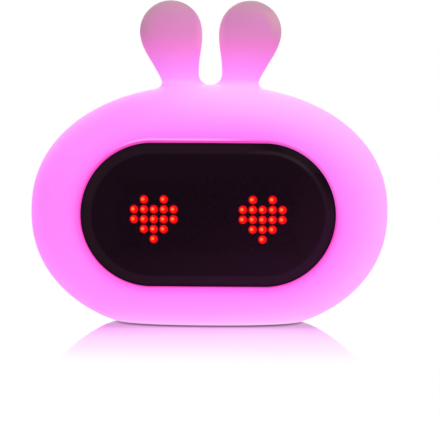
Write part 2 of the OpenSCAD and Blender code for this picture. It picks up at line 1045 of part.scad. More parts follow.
// White plugs of the ribbon, the cell and the light strip
module board_connectors() {
    ribbon_plug = [ribbon_w + 2, connector_t];
    color(nylon_white) {
        block(ribbon_at, display_back_y, display_back_y + connector_h, ribbon_plug);
        block(ribbon_at, plug_face_y, main_in_y, ribbon_plug);
        block(battery_plug_at, plug_face_y, main_in_y, [plug_w, connector_t]);
        block(strip_plug_at, plug_face_y, main_in_y, [plug_w, connector_t]);
    }
}

module board_screws() {
    color(metal_grey)
        for (x = [-1, 1], z = [-1, 1])
            facing([x * main_screw_at[0], z * main_screw_at[1]], main_in_y, -1)
                board_screw(main_bite);
}

// ---------- Ribbon and leads ----------

// Flat cable from the display board to the main board, with a little slack
module display_ribbon() {
    start_y = display_back_y + connector_h;
    run = plug_face_y - start_y;
    middle = [
        for (i = [0 : ribbon_steps])
            let (t = i / ribbon_steps)
            [start_y + run * t, ribbon_at[1] - ribbon_sag * (1 - cos(360 * t)) / 2]
    ];
    back = [for (i = [ribbon_steps : -1 : 0]) middle[i] - [0, ribbon_t / 2]];
    color(nylon_white)
        translate([ribbon_at[0] - ribbon_w / 2, 0, waist_z])
            rotate([90, 0, 90])
                linear_extrude(ribbon_w)
                    polygon(concat([for (p = middle) p + [0, ribbon_t / 2]], back));
}

// One lead from each end of the cell to the cell's plug
module battery_leads() {
    end_x = cell_l / 2;
    top_z = cell_z + 3;
    plug = [battery_plug_at[0], plug_face_y, battery_plug_at[1]];
    color([0.8, 0.1, 0.1])
        lead([
            [end_x, cell_y, top_z],
            [end_x + 2.5, cell_y, top_z],
            [end_x + 4, cell_y + 5, top_z + 0.5],
            [end_x, cell_y + 11, top_z + 1],
            [25, cell_y + 15, top_z],
            [15.5, cell_y + 19, -13],
            plug + [lead_pitch / 2, -3, 0],
            plug + [lead_pitch / 2, 0, 0]
        ]);
    color([0.1, 0.1, 0.1])
        lead([
            [-end_x, cell_y, top_z],
            [-end_x - 2.5, cell_y, top_z],
            [-end_x - 4, cell_y + 5, top_z + 0.5],
            [-end_x, cell_y + 11, top_z + 1],
            [-20, cell_y + 14, top_z + 2],
            [0, cell_y + 15.5, top_z + 2],
            [10, cell_y + 18, -11.5],
            plug + [-lead_pitch / 2, -3, 0],
            plug + [-lead_pitch / 2, 0, 0]
        ]);
}

// Three leads from the light strip, in through the tube's slot, to their plug
module strip_leads() {
    plug = [0, plug_face_y, strip_plug_at[1]];
    on_tube = tube_r + lead_r + face_gap;
    color([0.9, 0.9, 0.9])
        for (i = [-1 : 1])
            translate([slot_x + i * lead_pitch, 0, 0])
                lead([
                    [0, strip_end_y, on_tube],
                    [0, strip_end_y + 2, on_tube],
                    [0, slot_y + slot_size[1] / 2, tube_r - wall_t / 2],
                    [0, slot_y + slot_size[1] / 2 + 1.2, tube_in_r - 3],
                    plug + [0, -4, 1],
                    plug + [0, -2, 0],
                    plug
                ]);
}

// Two short leads from the speaker's terminals to the main board
module speaker_leads() {
    at_z = speaker_at[1] + terminal_z;
    top = [speaker_at[0], basket_back_y - terminal_h - slide_gap, at_z];
    bottom = [speaker_at[0], main_out_y + slide_gap, at_z];
    color([0.8, 0.1, 0.1])
        for (side = [-1, 1])
            translate([side * terminal_pitch / 2, 0, 0])
                lead([
                    top,
                    top - [0, lead_straight, 0],
                    (top + bottom) / 2 + [0, 0, lead_bow],
                    bottom + [0, lead_straight, 0],
                    bottom
                ]);
}

// ---------- Charging socket, charge light and power switch ----------

module socket_outline(play) {
    size = [socket_w + 2 * play, socket_h + 2 * play];
    soft_rect(size, size[1] / 2 - 0.05);
}

module socket_shell() {
    color(metal_grey)
        slab(main_out_y, socket_end_y)
            translate(socket_at)
                difference() {
                    socket_outline(0);
                    socket_outline(-socket_wall);
                }
}

// Insulating base inside the socket, with the tongue that carries the contacts
module socket_tongue() {
    color(plastic_black)
        union() {
            slab(main_out_y, main_out_y + tongue_base_t)
                translate(socket_at)
                    socket_outline(-socket_wall - face_gap);
            block(socket_at, main_out_y + tongue_base_t / 2, socket_end_y - tongue_sink, tongue_size);
        }
}

module charge_light() {
    color("white")
        block(pipe_at, main_out_y, main_out_y + charge_h, charge_size);
}

// Clear pipe that carries the charge light through the cover
module light_pipe() {
    color([0.9, 0.95, 1])
        union() {
            bar(pipe_at, main_out_y + charge_h + face_gap, cover_out_y, pipe_r);
            bar(pipe_at, cover_in_y - collar_t, cover_in_y, collar_r);
        }
}

module switch_body() {
    slot = [lever_side + switch_travel + 2 * slide_gap, lever_side + 2 * slide_gap];
    color(metal_grey)
        difference() {
            block(switch_at, main_out_y, switch_top_y, switch_size);
            block(switch_at, switch_top_y - lever_sink - lever_floor, switch_top_y + cut, slot);
        }
}

module switch_lever() {
    bottom_y = switch_top_y - lever_sink;
    color(plastic_black)
        block([knob_x, switch_at[1]], bottom_y, bottom_y + lever_l, [lever_side, lever_side]);
}

// Knob that stands out of the cover, with a plate inside and a pocket for the lever
module power_knob() {
    at = [knob_x, switch_at[1]];
    plate_end_y = cover_in_y - face_gap;
    plate_start_y = plate_end_y - knob_plate_t;
    pocket = lever_side + 2 * face_gap;
    knob_end_y = cover_out_y + knob_proud;
    lever_end_y = switch_top_y - lever_sink + lever_l;
    color(plastic_black)
        difference() {
            union() {
                block(at, switch_top_y + knob_lift, plate_start_y, [knob_boss, knob_boss]);
                block(at, plate_start_y, plate_end_y, knob_plate);
                block(at, plate_end_y, knob_end_y, knob_size);
            }
            block(at, switch_top_y, lever_end_y + lever_tip_gap, [pocket, pocket]);
            for (i = [-1 : 1])
                block(
                    at + [i * knob_size[0] / 4, 0], knob_end_y - grip_t, knob_end_y + cut,
                    [grip_w, knob_size[1] + cut]
                );
        }
}

// ---------- Speaker ----------

// Turns an outline of radius and height about the speaker's axis, facing the back
module speaker_turn(y) {
    facing(speaker_at, y, 1)
        rotate_extrude()
            children();
}

// Steel cup with a flange in front and a terminal strip behind
module speaker_basket() {
    color(metal_grey)
        union() {
            speaker_turn(basket_back_y)
                difference() {
                    union() {
                        square([cup_r, basket_h]);
                        translate([0, basket_h - basket_flange_t])
                            square([speaker_r, basket_flange_t]);
                    }
                    translate([0, basket_wall])
                        square([cup_r - basket_wall, basket_h]);
                    square([coil_r + coil_play, basket_h]);
                }
            block(
                speaker_at + [0, terminal_z], basket_back_y - terminal_h, basket_back_y, terminal_size
            );
        }
}

// Ring magnet and pole piece, with the slot that the coil moves in
module speaker_magnet() {
    magnet_h = basket_back_y - magnet_y;
    pole_r = coil_r - coil_t - coil_play;
    color(foam_grey)
        speaker_turn(magnet_y)
            difference() {
                union() {
                    square([magnet_r, magnet_h]);
                    square([pole_r, magnet_h + basket_wall]);
                }
                translate([pole_r, magnet_slot_y - magnet_y])
                    square([coil_t + 2 * coil_play, magnet_h]);
            }
}

module speaker_coil() {
    color([0.72, 0.4, 0.2])
        speaker_turn(coil_y)
            translate([coil_r - coil_t, 0])
                square([coil_t, coil_h]);
}

// Shallow cone with a dust cap, standing on the coil
module speaker_cone() {
    rise = cone_drop - cone_t;
    color(plastic_black)
        speaker_turn(coil_end_y)
            polygon([
                [0, 0],
                [coil_r, 0],
                [cone_r, rise],
                [cone_r, rise + cone_t],
                [coil_r, cone_t],
                [coil_r * 0.7, cone_t * 2],
                [0, cone_t * 2.6]
            ]);
}

// Soft ring round the cone, with one raised roll
module speaker_surround() {
    in_r = speaker_r - surround_w;
    color(plastic_black)
        speaker_turn(basket_y)
            union() {
                translate([in_r, 0])
                    square([surround_w - slide_gap, surround_t]);
                intersection() {
                    translate([in_r + roll_r, 0])
                        circle(roll_r, $fn = small_fn);
                    translate([in_r, 0])
                        square(2 * roll_r);
                }
            }
}

// Foam ring that glues the speaker to the cover
module speaker_gasket() {
    color(foam_grey)
        speaker_turn(basket_y + surround_t)
            translate([speaker_r - gasket_w, 0])
                square([gasket_w, gasket_t]);
}

// Dust mesh behind the grille
module speaker_mesh() {
    color(plastic_black)
        bar(speaker_at, cover_in_y - mesh_t, cover_in_y, speaker_r - gasket_w - slide_gap);
}

// ---------- Back cover and buttons ----------

// Holes in rings for the speaker's sound
module grille() {
    bar(speaker_at, cover_out_y - grille_dish_t, cover_out_y + cut, grille_dish_r);
    slab(cover_in_y - cut, cover_out_y + cut)
        translate(speaker_at)
            for (ring = [0 : grille_rings])
                let (count = max(1, 6 * ring))
                    for (i = [0 : count - 1])
                        rotate(360 * i / count)
                            translate([ring * grille_pitch, 0])
                                circle(d = grille_hole_d, $fn = small_fn);
}

module rear_cover() {
    knob_slot = [knob_size[0] + switch_travel + 4 * slide_gap, knob_size[1] + 2 * slide_gap];
    color(case_white)
        difference() {
            union() {
                slab(cover_in_y, cover_out_y)
                    stadium(cover_r);
                slab(cover_in_y - skirt_l, cover_in_y)
                    stadium_ring(skirt_r, skirt_r - skirt_t);
                four(boss_at)
                    bar([0, 0], boss_y + face_gap, cover_in_y, pillar_r);
                four(main_screw_at)
                    bar([0, 0], main_out_y, cover_in_y, main_post_r);
                difference() {
                    bar(speaker_at, cover_in_y - skirt_l, cover_in_y, speaker_r + speaker_ring_wall);
                    bar(speaker_at, 0, cover_in_y, speaker_r + slide_gap);
                }
            }
            four(boss_at) {
                bar([0, 0], 0, beyond, case_screw_d / 2 + screw_play);
                bar([0, 0], seat_y, beyond, head_d / 2 + screw_play);
            }
            four(main_screw_at)
                bar(
                    [0, 0], main_out_y - cut, main_out_y + main_bite + cut,
                    board_screw_d / 2 + pilot_play
                );
            for (i = [-2 : 2])
                bar([i * button_pitch, button_row_z], cover_in_y - cut, beyond, button_d / 2 + slide_gap);
            slab(cover_out_y - panel_sink, beyond)
                translate([0, button_row_z])
                    soft_rect(button_panel, panel_corner);
            grille();
            block(switch_at, cover_in_y - cut, beyond, knob_slot);
            slab(cover_in_y - cut, beyond)
                translate(socket_at)
                    socket_outline(socket_play);
            slab(cover_out_y - plug_sink, beyond)
                translate(socket_at)
                    soft_rect(plug_size, plug_corner);
            bar(pipe_at, cover_in_y - cut, beyond, pipe_r + face_gap);
        }
}

module case_screws() {
    color(metal_grey)
        for (x = [-1, 1], z = [-1, 1])
            facing([x * boss_at[0], z * boss_at[1]], seat_y, 1)
                screw(case_screw_d, case_screw_l, head_d, head_h);
}

// Black bodies of the five small switches, each with a pocket for its plunger
module tact_switches() {
    pocket = plunger_sink + button_travel + plunger_floor;
    color(plastic_black)
        for (i = [-2 : 2])
            difference() {
                block([i * button_pitch, button_row_z], main_out_y, tact_top_y, [tact_side, tact_side]);
                bar(
                    [i * button_pitch, button_row_z], tact_top_y - pocket, tact_top_y + cut,
                    plunger_r + slide_gap
                );
            }
}

module plunger(i) {
    color(button_grey)
        bar([i * button_pitch, button_row_z], tact_top_y - plunger_sink, plunger_y, plunger_r);
}

// A button: a stem on the plunger, a flange behind the cover and a rounded cap in front
module button(i) {
    r = button_d / 2;
    flange_z = flange_y - plunger_y;
    top_z = cover_out_y + button_proud - plunger_y;
    color(button_grey)
        facing([i * button_pitch, button_row_z], plunger_y, 1)
            rotate_extrude()
                union() {
                    square([stem_r, flange_z + flange_t]);
                    translate([0, flange_z]) {
                        square([flange_r, flange_t]);
                        square([r, top_z - cap_round - flange_z]);
                        square([r - cap_round, top_z - flange_z]);
                    }
                    translate([r - cap_round, top_z - cap_round])
                        circle(cap_round, $fn = small_fn);
                }
}

module mode_button() {
    button(-2);
}

module light_button() {
    button(-1);
}

module alarm_button() {
    button(0);
}

module minus_button() {
    button(1);
}

module plus_button() {
    button(2);
}

module mode_plunger() {
    plunger(-2);
}

module light_plunger() {
    plunger(-1);
}

module alarm_plunger() {
    plunger(0);
}

module minus_plunger() {
    plunger(1);
}

module plus_plunger() {
    plunger(2);
}

silicone_shell();
display_lens();
lens_tape();
front_housing();
dot_mask();
lit_dots();
dark_dots();
display_board();
driver_chips();
display_screws();
light_strip();
strip_lights();
battery_cell();
battery_pads();
battery_clamp();
clamp_screws();
main_board();
main_chips();
board_capacitors();
tap_sensor();
clock_crystal();
board_connectors();
board_screws();
tact_switches();
switch_body();
switch_lever();
power_knob();
socket_shell();
socket_tongue();
charge_light();
light_pipe();
speaker_basket();
speaker_magnet();
speaker_coil();
speaker_cone();
speaker_surround();
speaker_gasket();
speaker_mesh();
display_ribbon();
battery_leads();
strip_leads();
speaker_leads();
rear_cover();
case_screws();
mode_button();
light_button();
alarm_button();
minus_button();
plus_button();
mode_plunger();
light_plunger();
alarm_plunger();
minus_plunger();
plus_plunger();
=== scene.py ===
"""Looks of a bedside alarm clock and night light with a soft, glowing, rabbit-eared body.

Each class builds and dresses one sub-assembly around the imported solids. Sizes are in
millimetres in the classes and in metres in the meshes. +X is right, +Y is the back and
+Z is up. The floor is at z = 0 and the window faces -Y.
"""

import json
import logging
import math
from collections.abc import Callable
from dataclasses import dataclass, field
from enum import Enum
from functools import cached_property

import bmesh
import bpy
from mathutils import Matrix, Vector


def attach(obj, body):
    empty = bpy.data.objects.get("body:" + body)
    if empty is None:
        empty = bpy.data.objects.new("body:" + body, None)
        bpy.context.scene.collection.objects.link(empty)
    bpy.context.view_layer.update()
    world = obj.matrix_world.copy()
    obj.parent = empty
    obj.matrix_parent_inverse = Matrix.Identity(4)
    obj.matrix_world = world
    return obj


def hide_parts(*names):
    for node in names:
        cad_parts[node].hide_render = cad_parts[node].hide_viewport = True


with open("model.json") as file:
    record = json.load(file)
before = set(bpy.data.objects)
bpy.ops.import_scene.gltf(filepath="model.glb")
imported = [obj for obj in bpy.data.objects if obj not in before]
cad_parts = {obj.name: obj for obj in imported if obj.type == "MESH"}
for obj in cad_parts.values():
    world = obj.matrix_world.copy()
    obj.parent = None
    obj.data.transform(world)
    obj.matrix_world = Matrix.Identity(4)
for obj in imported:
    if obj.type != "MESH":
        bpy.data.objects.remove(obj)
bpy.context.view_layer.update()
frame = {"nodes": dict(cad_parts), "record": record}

MM = 0.001
TINY = 1e-6
LOG = logging.getLogger("clock")

Pair = tuple[float, float]
Point = tuple[float, float, float]
Colour = tuple[float, float, float, float]
Stops = tuple[tuple[float, Colour], ...]

# Sizes that the shapes and the finishes share, in millimetres.
HALF_WIDTH = 74.0
HALF_HEIGHT = 52.5
SQUARENESS = 2.18
CROWN = 98.5
WINDOW_Z = 46.0
WINDOW_STRAIGHT = 22.5
POCKET_R = 29.3

WHITE: Colour = (1.0, 1.0, 1.0, 1.0)
ORIGIN: Point = (0.0, 0.0, 0.0)
MIDDLE: Pair = (0.0, 0.0)
MIRROR: Point = (-1.0, 1.0, 1.0)


def rgb(red: float, green: float, blue: float) -> Colour:
    """A display colour of 0 to 255, turned into a linear one by undoing the display curve."""
    parts = (value / 255 for value in (red, green, blue))
    return (*(p / 12.92 if p <= 0.04045 else ((p + 0.055) / 1.055) ** 2.4 for p in parts), 1.0)


def grey(level: float) -> Colour:
    """A linear grey."""
    return (level, level, level, 1.0)


def metres(place: Point) -> Point:
    """A place or a step in millimetres, turned into metres."""
    return tuple(part * MM for part in place)


def millimetres(place: Point) -> Point:
    """A place in metres, turned into millimetres."""
    return tuple(part / MM for part in place)


def clamp(share: float) -> float:
    """A share held between 0 and 1."""
    return min(max(share, 0.0), 1.0)


# ---------- Shader maths ----------


class Signal:
    """A number in a shader, with the arithmetic that the finishes use."""

    def __init__(self, graph: "Graph", socket: bpy.types.NodeSocket) -> None:
        """Wraps a socket of a graph."""
        self.graph = graph
        self.socket = socket

    def math(self, operation: str, *others: "Signal | float") -> "Signal":
        """Adds a Math node.

        Args:
            operation: The node's operation.
            others: The values after this one.

        Returns:
            The node's result.
        """
        inputs = dict(enumerate((self, *others)))
        node = self.graph.add("ShaderNodeMath", {"operation": operation}, inputs)
        return Signal(self.graph, node.outputs[0])

    def __add__(self, other: "Signal | float") -> "Signal":
        """self + other."""
        return self.math("ADD", other)

    def __sub__(self, other: "Signal | float") -> "Signal":
        """self - other."""
        return self.math("SUBTRACT", other)

    def __rsub__(self, other: float) -> "Signal":
        """other - self."""
        return self.math("MULTIPLY_ADD", -1.0, other)

    def __mul__(self, other: "Signal | float") -> "Signal":
        """self * other."""
        return self.math("MULTIPLY", other)

    def __truediv__(self, other: "Signal | float") -> "Signal":
        """self / other."""
        return self.math("DIVIDE", other)

    def __pow__(self, other: float) -> "Signal":
        """self to a power."""
        return self.math("POWER", other)

    def __abs__(self) -> "Signal":
        """The size of self."""
        return self.math("ABSOLUTE")

    def at_least(self, low: "Signal | float") -> "Signal":
        """Self, or low where self is less."""
        return self.math("MAXIMUM", low)

    def at_most(self, high: float) -> "Signal":
        """Self, or high where self is more."""
        return self.math("MINIMUM", high)

    def part(self) -> "Signal":
        """What is left of self past a whole number."""
        return self.math("FRACT")

    def in_cell(self, pitch: float) -> "Signal":
        """The step from the middle of its own cell, in a row of cells of this pitch."""
        return ((self / pitch).part() - 0.5) * pitch

    def between(self, low: float, high: float) -> "Signal":
        """Runs from low where self is 0 to high where self is 1."""
        return self * (high - low) + low

    def ease(self, low: float, high: float) -> "Signal":
        """Rises smoothly from 0 at low to 1 at high.

        Args:
            low: Where the rise starts.
            high: Where it ends.

        Returns:
            The eased share.
        """
        node = self.graph.add(
            "ShaderNodeMapRange",
            {"interpolation_type": "SMOOTHSTEP"},
            {0: self, 1: low, 2: high, 3: 0.0, 4: 1.0},
        )
        return Signal(self.graph, node.outputs[0])

    def fall(self, low: float, high: float) -> "Signal":
        """Falls smoothly from 1 at low to 0 at high."""
        return 1.0 - self.ease(low, high)

    def fade(self, length: float) -> "Signal":
        """Falls from 1 at 0 to about a third at each further length."""
        return (self * (-1 / length)).math("EXPONENT")

    def peak(self, place: float, width: float) -> "Signal":
        """A soft ridge: 1 at a place, about a third at its width to either side."""
        off = (self - place) * (1 / width)
        return (off * off * -1.0).math("EXPONENT")

    def blend(self, low: object, high: object) -> bpy.types.NodeSocket:
        """Mixes two colours.

        Args:
            low: The colour where self is 0.
            high: The colour where self is 1.

        Returns:
            The mixed colour.
        """
        settings = {"data_type": "RGBA", "clamp_factor": True}
        return self.graph.add("ShaderNodeMix", settings, {0: self, 6: low, 7: high}).outputs[2]

    def ramp(self, stops: Stops) -> bpy.types.NodeSocket:
        """Looks a colour up on a ramp.

        Args:
            stops: The ramp's places and colours, from low to high.

        Returns:
            The colour.
        """
        node = self.graph.add("ShaderNodeValToRGB", None, {0: self})
        elements = node.color_ramp.elements
        while len(elements) < len(stops):
            elements.new(1.0)
        for element, (place, colour) in zip(elements, stops):
            element.position, element.color = place, colour
        return node.outputs["Color"]

    def bump(self, strength: float, depth: float) -> bpy.types.NodeSocket:
        """Turns self, as a height, into a normal, with its depth in millimetres."""
        inputs = {"Strength": strength, "Distance": depth * MM, "Height": self}
        return self.graph.add("ShaderNodeBump", None, inputs).outputs["Normal"]


Spot = tuple[Signal, Signal, Signal]


def span(across: Signal, up: Signal) -> Signal:
    """The length of a step with these two sides."""
    return (across * across + up * up) ** 0.5


def from_bar(across: Signal, up: Signal, straight: float) -> Signal:
    """How far a place lies from a stadium's middle line, whose half length is given."""
    return span((abs(across) - straight).at_least(0.0), up)


class Graph:
    """The nodes of one material or world."""

    def __init__(self, name: str, blocks: str = "materials") -> None:
        """Makes an empty material or world.

        Args:
            name: Its name.
            blocks: Where it is kept: "materials" or "worlds".
        """
        self.material = getattr(bpy.data, blocks).new(name)
        self.material.use_nodes = True
        self.tree = self.material.node_tree
        self.tree.nodes.clear()

    def add(
        self, kind: str, settings: dict | None = None, inputs: dict | None = None
    ) -> bpy.types.Node:
        """Adds a node, sets it up and feeds its sockets.

        Args:
            kind: The node's type.
            settings: Its settings by name.
            inputs: A value, a Signal or a socket for each socket, by name or number.

        Returns:
            The new node.
        """
        node = self.tree.nodes.new(kind)
        for key, value in (settings or {}).items():
            setattr(node, key, value)
        for key, value in (inputs or {}).items():
            source = value.socket if isinstance(value, Signal) else value
            if isinstance(source, bpy.types.NodeSocket):
                self.tree.links.new(source, node.inputs[key])
            else:
                node.inputs[key].default_value = source
        return node

    @cached_property
    def place(self) -> bpy.types.NodeSocket:
        """Object coordinates, which are the part's own frame in metres."""
        return self.add("ShaderNodeTexCoord").outputs["Object"]

    def axes(self) -> Spot:
        """The place on the part along X, Y and Z, in millimetres."""
        node = self.add("ShaderNodeSeparateXYZ", None, {0: self.place})
        return tuple(Signal(self, out) * (1 / MM) for out in node.outputs)

    def noise(self, scale: float, detail: float = 3.0, stretch: Point = (1.0, 1.0, 1.0)) -> Signal:
        """Adds noise.

        Args:
            scale: Waves in a metre.
            detail: How many octaves it has.
            stretch: How much denser it is along each axis.

        Returns:
            The noise, between 0 and 1.
        """
        mapped = self.add("ShaderNodeMapping", None, {"Vector": self.place, "Scale": stretch})
        node = self.add("ShaderNodeTexNoise", None, {
            "Vector": mapped.outputs[0], "Scale": scale, "Detail": detail, "Roughness": 0.55,
        })
        return Signal(self, node.outputs["Fac"])

    def cells(self, scale: float, settings: dict | None = None) -> Signal:
        """Adds scattered points, such as bubbles.

        Args:
            scale: Points in a metre.
            settings: The node's settings.

        Returns:
            The distance to the nearest point.
        """
        inputs = {"Vector": self.place, "Scale": scale}
        node = self.add("ShaderNodeTexVoronoi", settings, inputs)
        return Signal(self, node.outputs["Distance"])

    def seen(self) -> Signal:
        """Tells the rays that show the background from those that light the part.

        Returns:
            1 for what the camera sees, straight or in gloss or clear plastic, else 0.
        """
        path = self.add("ShaderNodeLightPath")
        kinds = ("Is Camera Ray", "Is Glossy Ray", "Is Transmission Ray")
        camera, gloss, through = (Signal(self, path.outputs[kind]) for kind in kinds)
        return camera.at_least(gloss).at_least(through)

    def surface(self, inputs: dict) -> bpy.types.Material:
        """Ends the material in one Principled shader.

        Args:
            inputs: The shader's inputs by name.

        Returns:
            The material.
        """
        shader = self.add("ShaderNodeBsdfPrincipled", None, inputs)
        self.add("ShaderNodeOutputMaterial", None, {"Surface": shader.outputs[0]})
        return self.material


# ---------- Finishes ----------


class Finish:
    """What a surface is made of."""

    def material(self) -> bpy.types.Material:
        """Builds the material, which each finish does in its own way."""
        raise NotImplementedError


@dataclass(frozen=True)
class GlowingSilicone(Finish):
    """Translucent silicone with the coloured light of the strip behind it, and with painted light
    and shade in that glow.

    The pairs of a tone are the places where it starts and ends, in millimetres or, up an
    ear, as shares of its height. A relief is a bump's strength and its depth.
    """

    core: Colour = (0.66, 0.176, 0.66, 1.0)
    # Painted light: the glow turns towards this paler colour along the top and right edges and near
    # the floor.
    painted_pale_light: Colour = (0.66, 0.49, 0.66, 1.0)
    body_base: Colour = rgb(196, 92, 192)
    cloud: float = 300.0
    roughness: Pair = (0.55, 0.65)
    specular: float = 0.15
    grain: Pair = (2600.0, 4.0)
    relief: Pair = (0.1, 0.03)
    half_width: float = HALF_WIDTH
    half_height: float = HALF_HEIGHT
    squareness: float = SQUARENESS
    # Where the painted lamp light lies along the top and right edges, and the painted bounce light
    # from the floor.
    rim_w: Pair = (1.0, 20.0)
    rim_above: Pair = (-6.0, 10.0)
    rim_left: Pair = (-6.0, 46.0)
    painted_top_light_share: float = 0.6
    painted_right_light_share: float = 0.4
    bounce_height: float = 3.8
    bounce_share: float = 1.05

    window_z: float = WINDOW_Z
    straight: float = WINDOW_STRAIGHT
    pocket_r: float = POCKET_R
    front: Pair = (-34.5, -28.0)
    # Deep glow round the window: weaker light through the lip, and painted shade where the lip
    # turns in towards the lens; less of it at the upper right.
    lip: Colour = (0.72, 0.03, 0.36, 1.0)
    lip_out: float = 0.4
    lip_fade: float = 2.1
    lip_share: float = 0.9
    lip_dim_right: Pair = (8.0, 40.0)
    lip_dim_above: Pair = (-12.0, 12.0)
    lip_dim_share: float = 0.5

    # Painted highlight: a fine catch light along the crest of the lip over the window.
    painted_glint: Colour = (0.62, 0.60, 0.62, 1.0)
    glint_out: float = 1.05
    glint_w: float = 0.34
    glint_above: Pair = (20.0, 29.0)
    glint_left: Pair = (-42.0, -24.0)
    glint_right: Pair = (0.0, 20.0)
    glint_share: float = 0.5

    # Painted shade along the sole's edge, where it meets the floor.
    sole_shade: Colour = (0.16, 0.10, 0.16, 1.0)
    sole_rise: Pair = (0.1, 0.7)

    crown: float = CROWN
    ear_tip: float = 133.4
    ear_foot: Pair = (-0.01, 0.03)
    # The glow fading up the ear, as less of the strip's light reaches it; its paler foot carries on
    # the painted top light of the crown.
    ear_light: Stops = (
        (0.0, (0.55, 0.36, 0.60, 1.0)),
        (0.07, (0.55, 0.25, 0.60, 1.0)),
        (0.22, (0.58, 0.19, 0.60, 1.0)),
        (0.34, (0.60, 0.17, 0.51, 1.0)),
        (0.46, (0.53, 0.145, 0.39, 1.0)),
        (0.60, (0.395, 0.135, 0.28, 1.0)),
        (0.80, (0.285, 0.095, 0.225, 1.0)),
        (1.0, (0.20, 0.08, 0.10, 1.0)),
    )
    ear_base: Stops = (
        (0.0, body_base),
        (0.40, rgb(186, 96, 170)),
        (0.72, rgb(182, 112, 160)),
        (1.0, rgb(168, 128, 146)),
    )
    ear_x: float = 14.0
    ear_z: float = 119.5
    # Painted shade and light along the ears' edges: darker at the tip and on the left ear, paler on
    # the right ear and the inner edges.
    ear_rim_r: Pair = (9.5, 14.5)
    ear_rim_up: Pair = (0.45, 0.75)
    ear_rim_share: float = 0.8
    ear_tip_up: Pair = (0.76, 0.97)
    ear_sides: Pair = (-4.0, 4.0)
    tip_rim_shade: Colour = (0.14, 0.10, 0.12, 1.0)
    left_ear_rim_shade: Colour = (0.23, 0.14, 0.155, 1.0)
    right_ear_rim_light: Colour = (0.30, 0.235, 0.15, 1.0)
    inner_rim_light: Colour = (0.60, 0.36, 0.50, 1.0)
    inner_side: Pair = (-12.0, -6.5)
    inner_up: Pair = (0.3, 0.6)
    inner_share: float = 0.35

    def body_glow(self, spot: Spot) -> bpy.types.NodeSocket:
        """Lights the round body: the glow deep at the window, with painted light that makes it
        paler towards the top, the right and the floor.

        Args:
            spot: The place on the body.

        Returns:
            The glow's colour.
        """
        x, y, z = spot
        up = z - self.window_z
        reach = (x * x + up * up + 1.0) ** 0.5
        spread = (abs(x) / self.half_width) ** self.squareness
        rise = (abs(up) / self.half_height) ** self.squareness
        outward = ((spread + rise) ** (1 / self.squareness)).at_least(0.05)
        # Painted light from the lamps along the top and right edges, and painted bounce light from
        # the floor.
        rim = (reach * (1.0 - outward) / outward).fall(*self.rim_w)
        top = up * up / (reach * reach) * up.ease(*self.rim_above)
        top = top * (x * -1.0).fall(*self.rim_left)
        rightward = (x / reach).at_least(0.0)
        weight = top * self.painted_top_light_share + rightward * self.painted_right_light_share
        bounce = z.fade(self.bounce_height) * self.bounce_share
        return self.lip_glow((rim * weight + bounce).blend(self.core, self.painted_pale_light), (x, y, up))

    def lip_glow(self, glow: bpy.types.NodeSocket, spot: Spot) -> bpy.types.NodeSocket:
        """Adds the deep glow round the window, where the strip's light is weaker through the lip
        and painted shade lies where it turns in, and the painted catch light along its crest.

        Args:
            glow: The glow without them.
            spot: The place, counted up from the window's middle.

        Returns:
            The glow with them.
        """
        x, y, up = spot
        out = from_bar(x, up, self.straight) - self.pocket_r
        front = y.fall(*self.front)
        # Painted shade in the deep glow round the window, lessened at the upper right.
        near = (out - self.lip_out).at_least(0.0).fade(self.lip_fade) * front * self.lip_share
        dim = x.ease(*self.lip_dim_right) * up.ease(*self.lip_dim_above) * self.lip_dim_share
        glow = (near * (1.0 - dim)).blend(glow, self.lip)
        # Painted highlight along the lip's crest, on its upper part, mostly left of the middle.
        place = up.ease(*self.glint_above) * x.ease(*self.glint_left) * x.fall(*self.glint_right)
        line = out.peak(self.glint_out, self.glint_w) * place * front
        return (line * self.glint_share).blend(glow, self.painted_glint)

    def ear_glow(self, spot: Spot, share: Signal) -> bpy.types.NodeSocket:
        """Lights an ear: pink at its foot, dusky at its tip, with painted shade and light along its
        edge.

        Args:
            spot: The place on the ear.
            share: The height as a share of the ear's.

        Returns:
            The glow's colour.
        """
        x, _, z = spot
        beside = abs(x) - self.ear_x
        # Painted shade and light along the ear's edge.
        rim = span(beside, z - self.ear_z).ease(*self.ear_rim_r) * share.ease(*self.ear_rim_up)
        side = x.ease(*self.ear_sides).blend(self.left_ear_rim_shade, self.right_ear_rim_light)
        edge = share.ease(*self.ear_tip_up).blend(side, self.tip_rim_shade)
        ear = (rim * self.ear_rim_share).blend(share.ramp(self.ear_light), edge)
        inward = beside.fall(*self.inner_side) * share.ease(*self.inner_up)
        return (inward * self.inner_share).blend(ear, self.inner_rim_light)

    def material(self) -> bpy.types.Material:
        """Builds the material.

        Returns:
            The silicone of the whole body.
        """
        graph = Graph("glowing_silicone")
        spot = graph.axes()
        z = spot[2]
        share = (z - self.crown) / (self.ear_tip - self.crown)
        on_ear = share.ease(*self.ear_foot)
        glow = on_ear.blend(self.body_glow(spot), self.ear_glow(spot, share))
        return graph.surface({
            "Base Color": on_ear.blend(self.body_base, share.ramp(self.ear_base)),
            "Roughness": graph.noise(self.cloud).between(*self.roughness),
            "Specular IOR Level": self.specular,
            # The glow, darkened by painted shade along the sole's edge.
            "Emission Color": z.fall(*self.sole_rise).blend(glow, self.sole_shade),
            "Emission Strength": 1.0,
            "Normal": graph.noise(*self.grain).bump(*self.relief),
        })


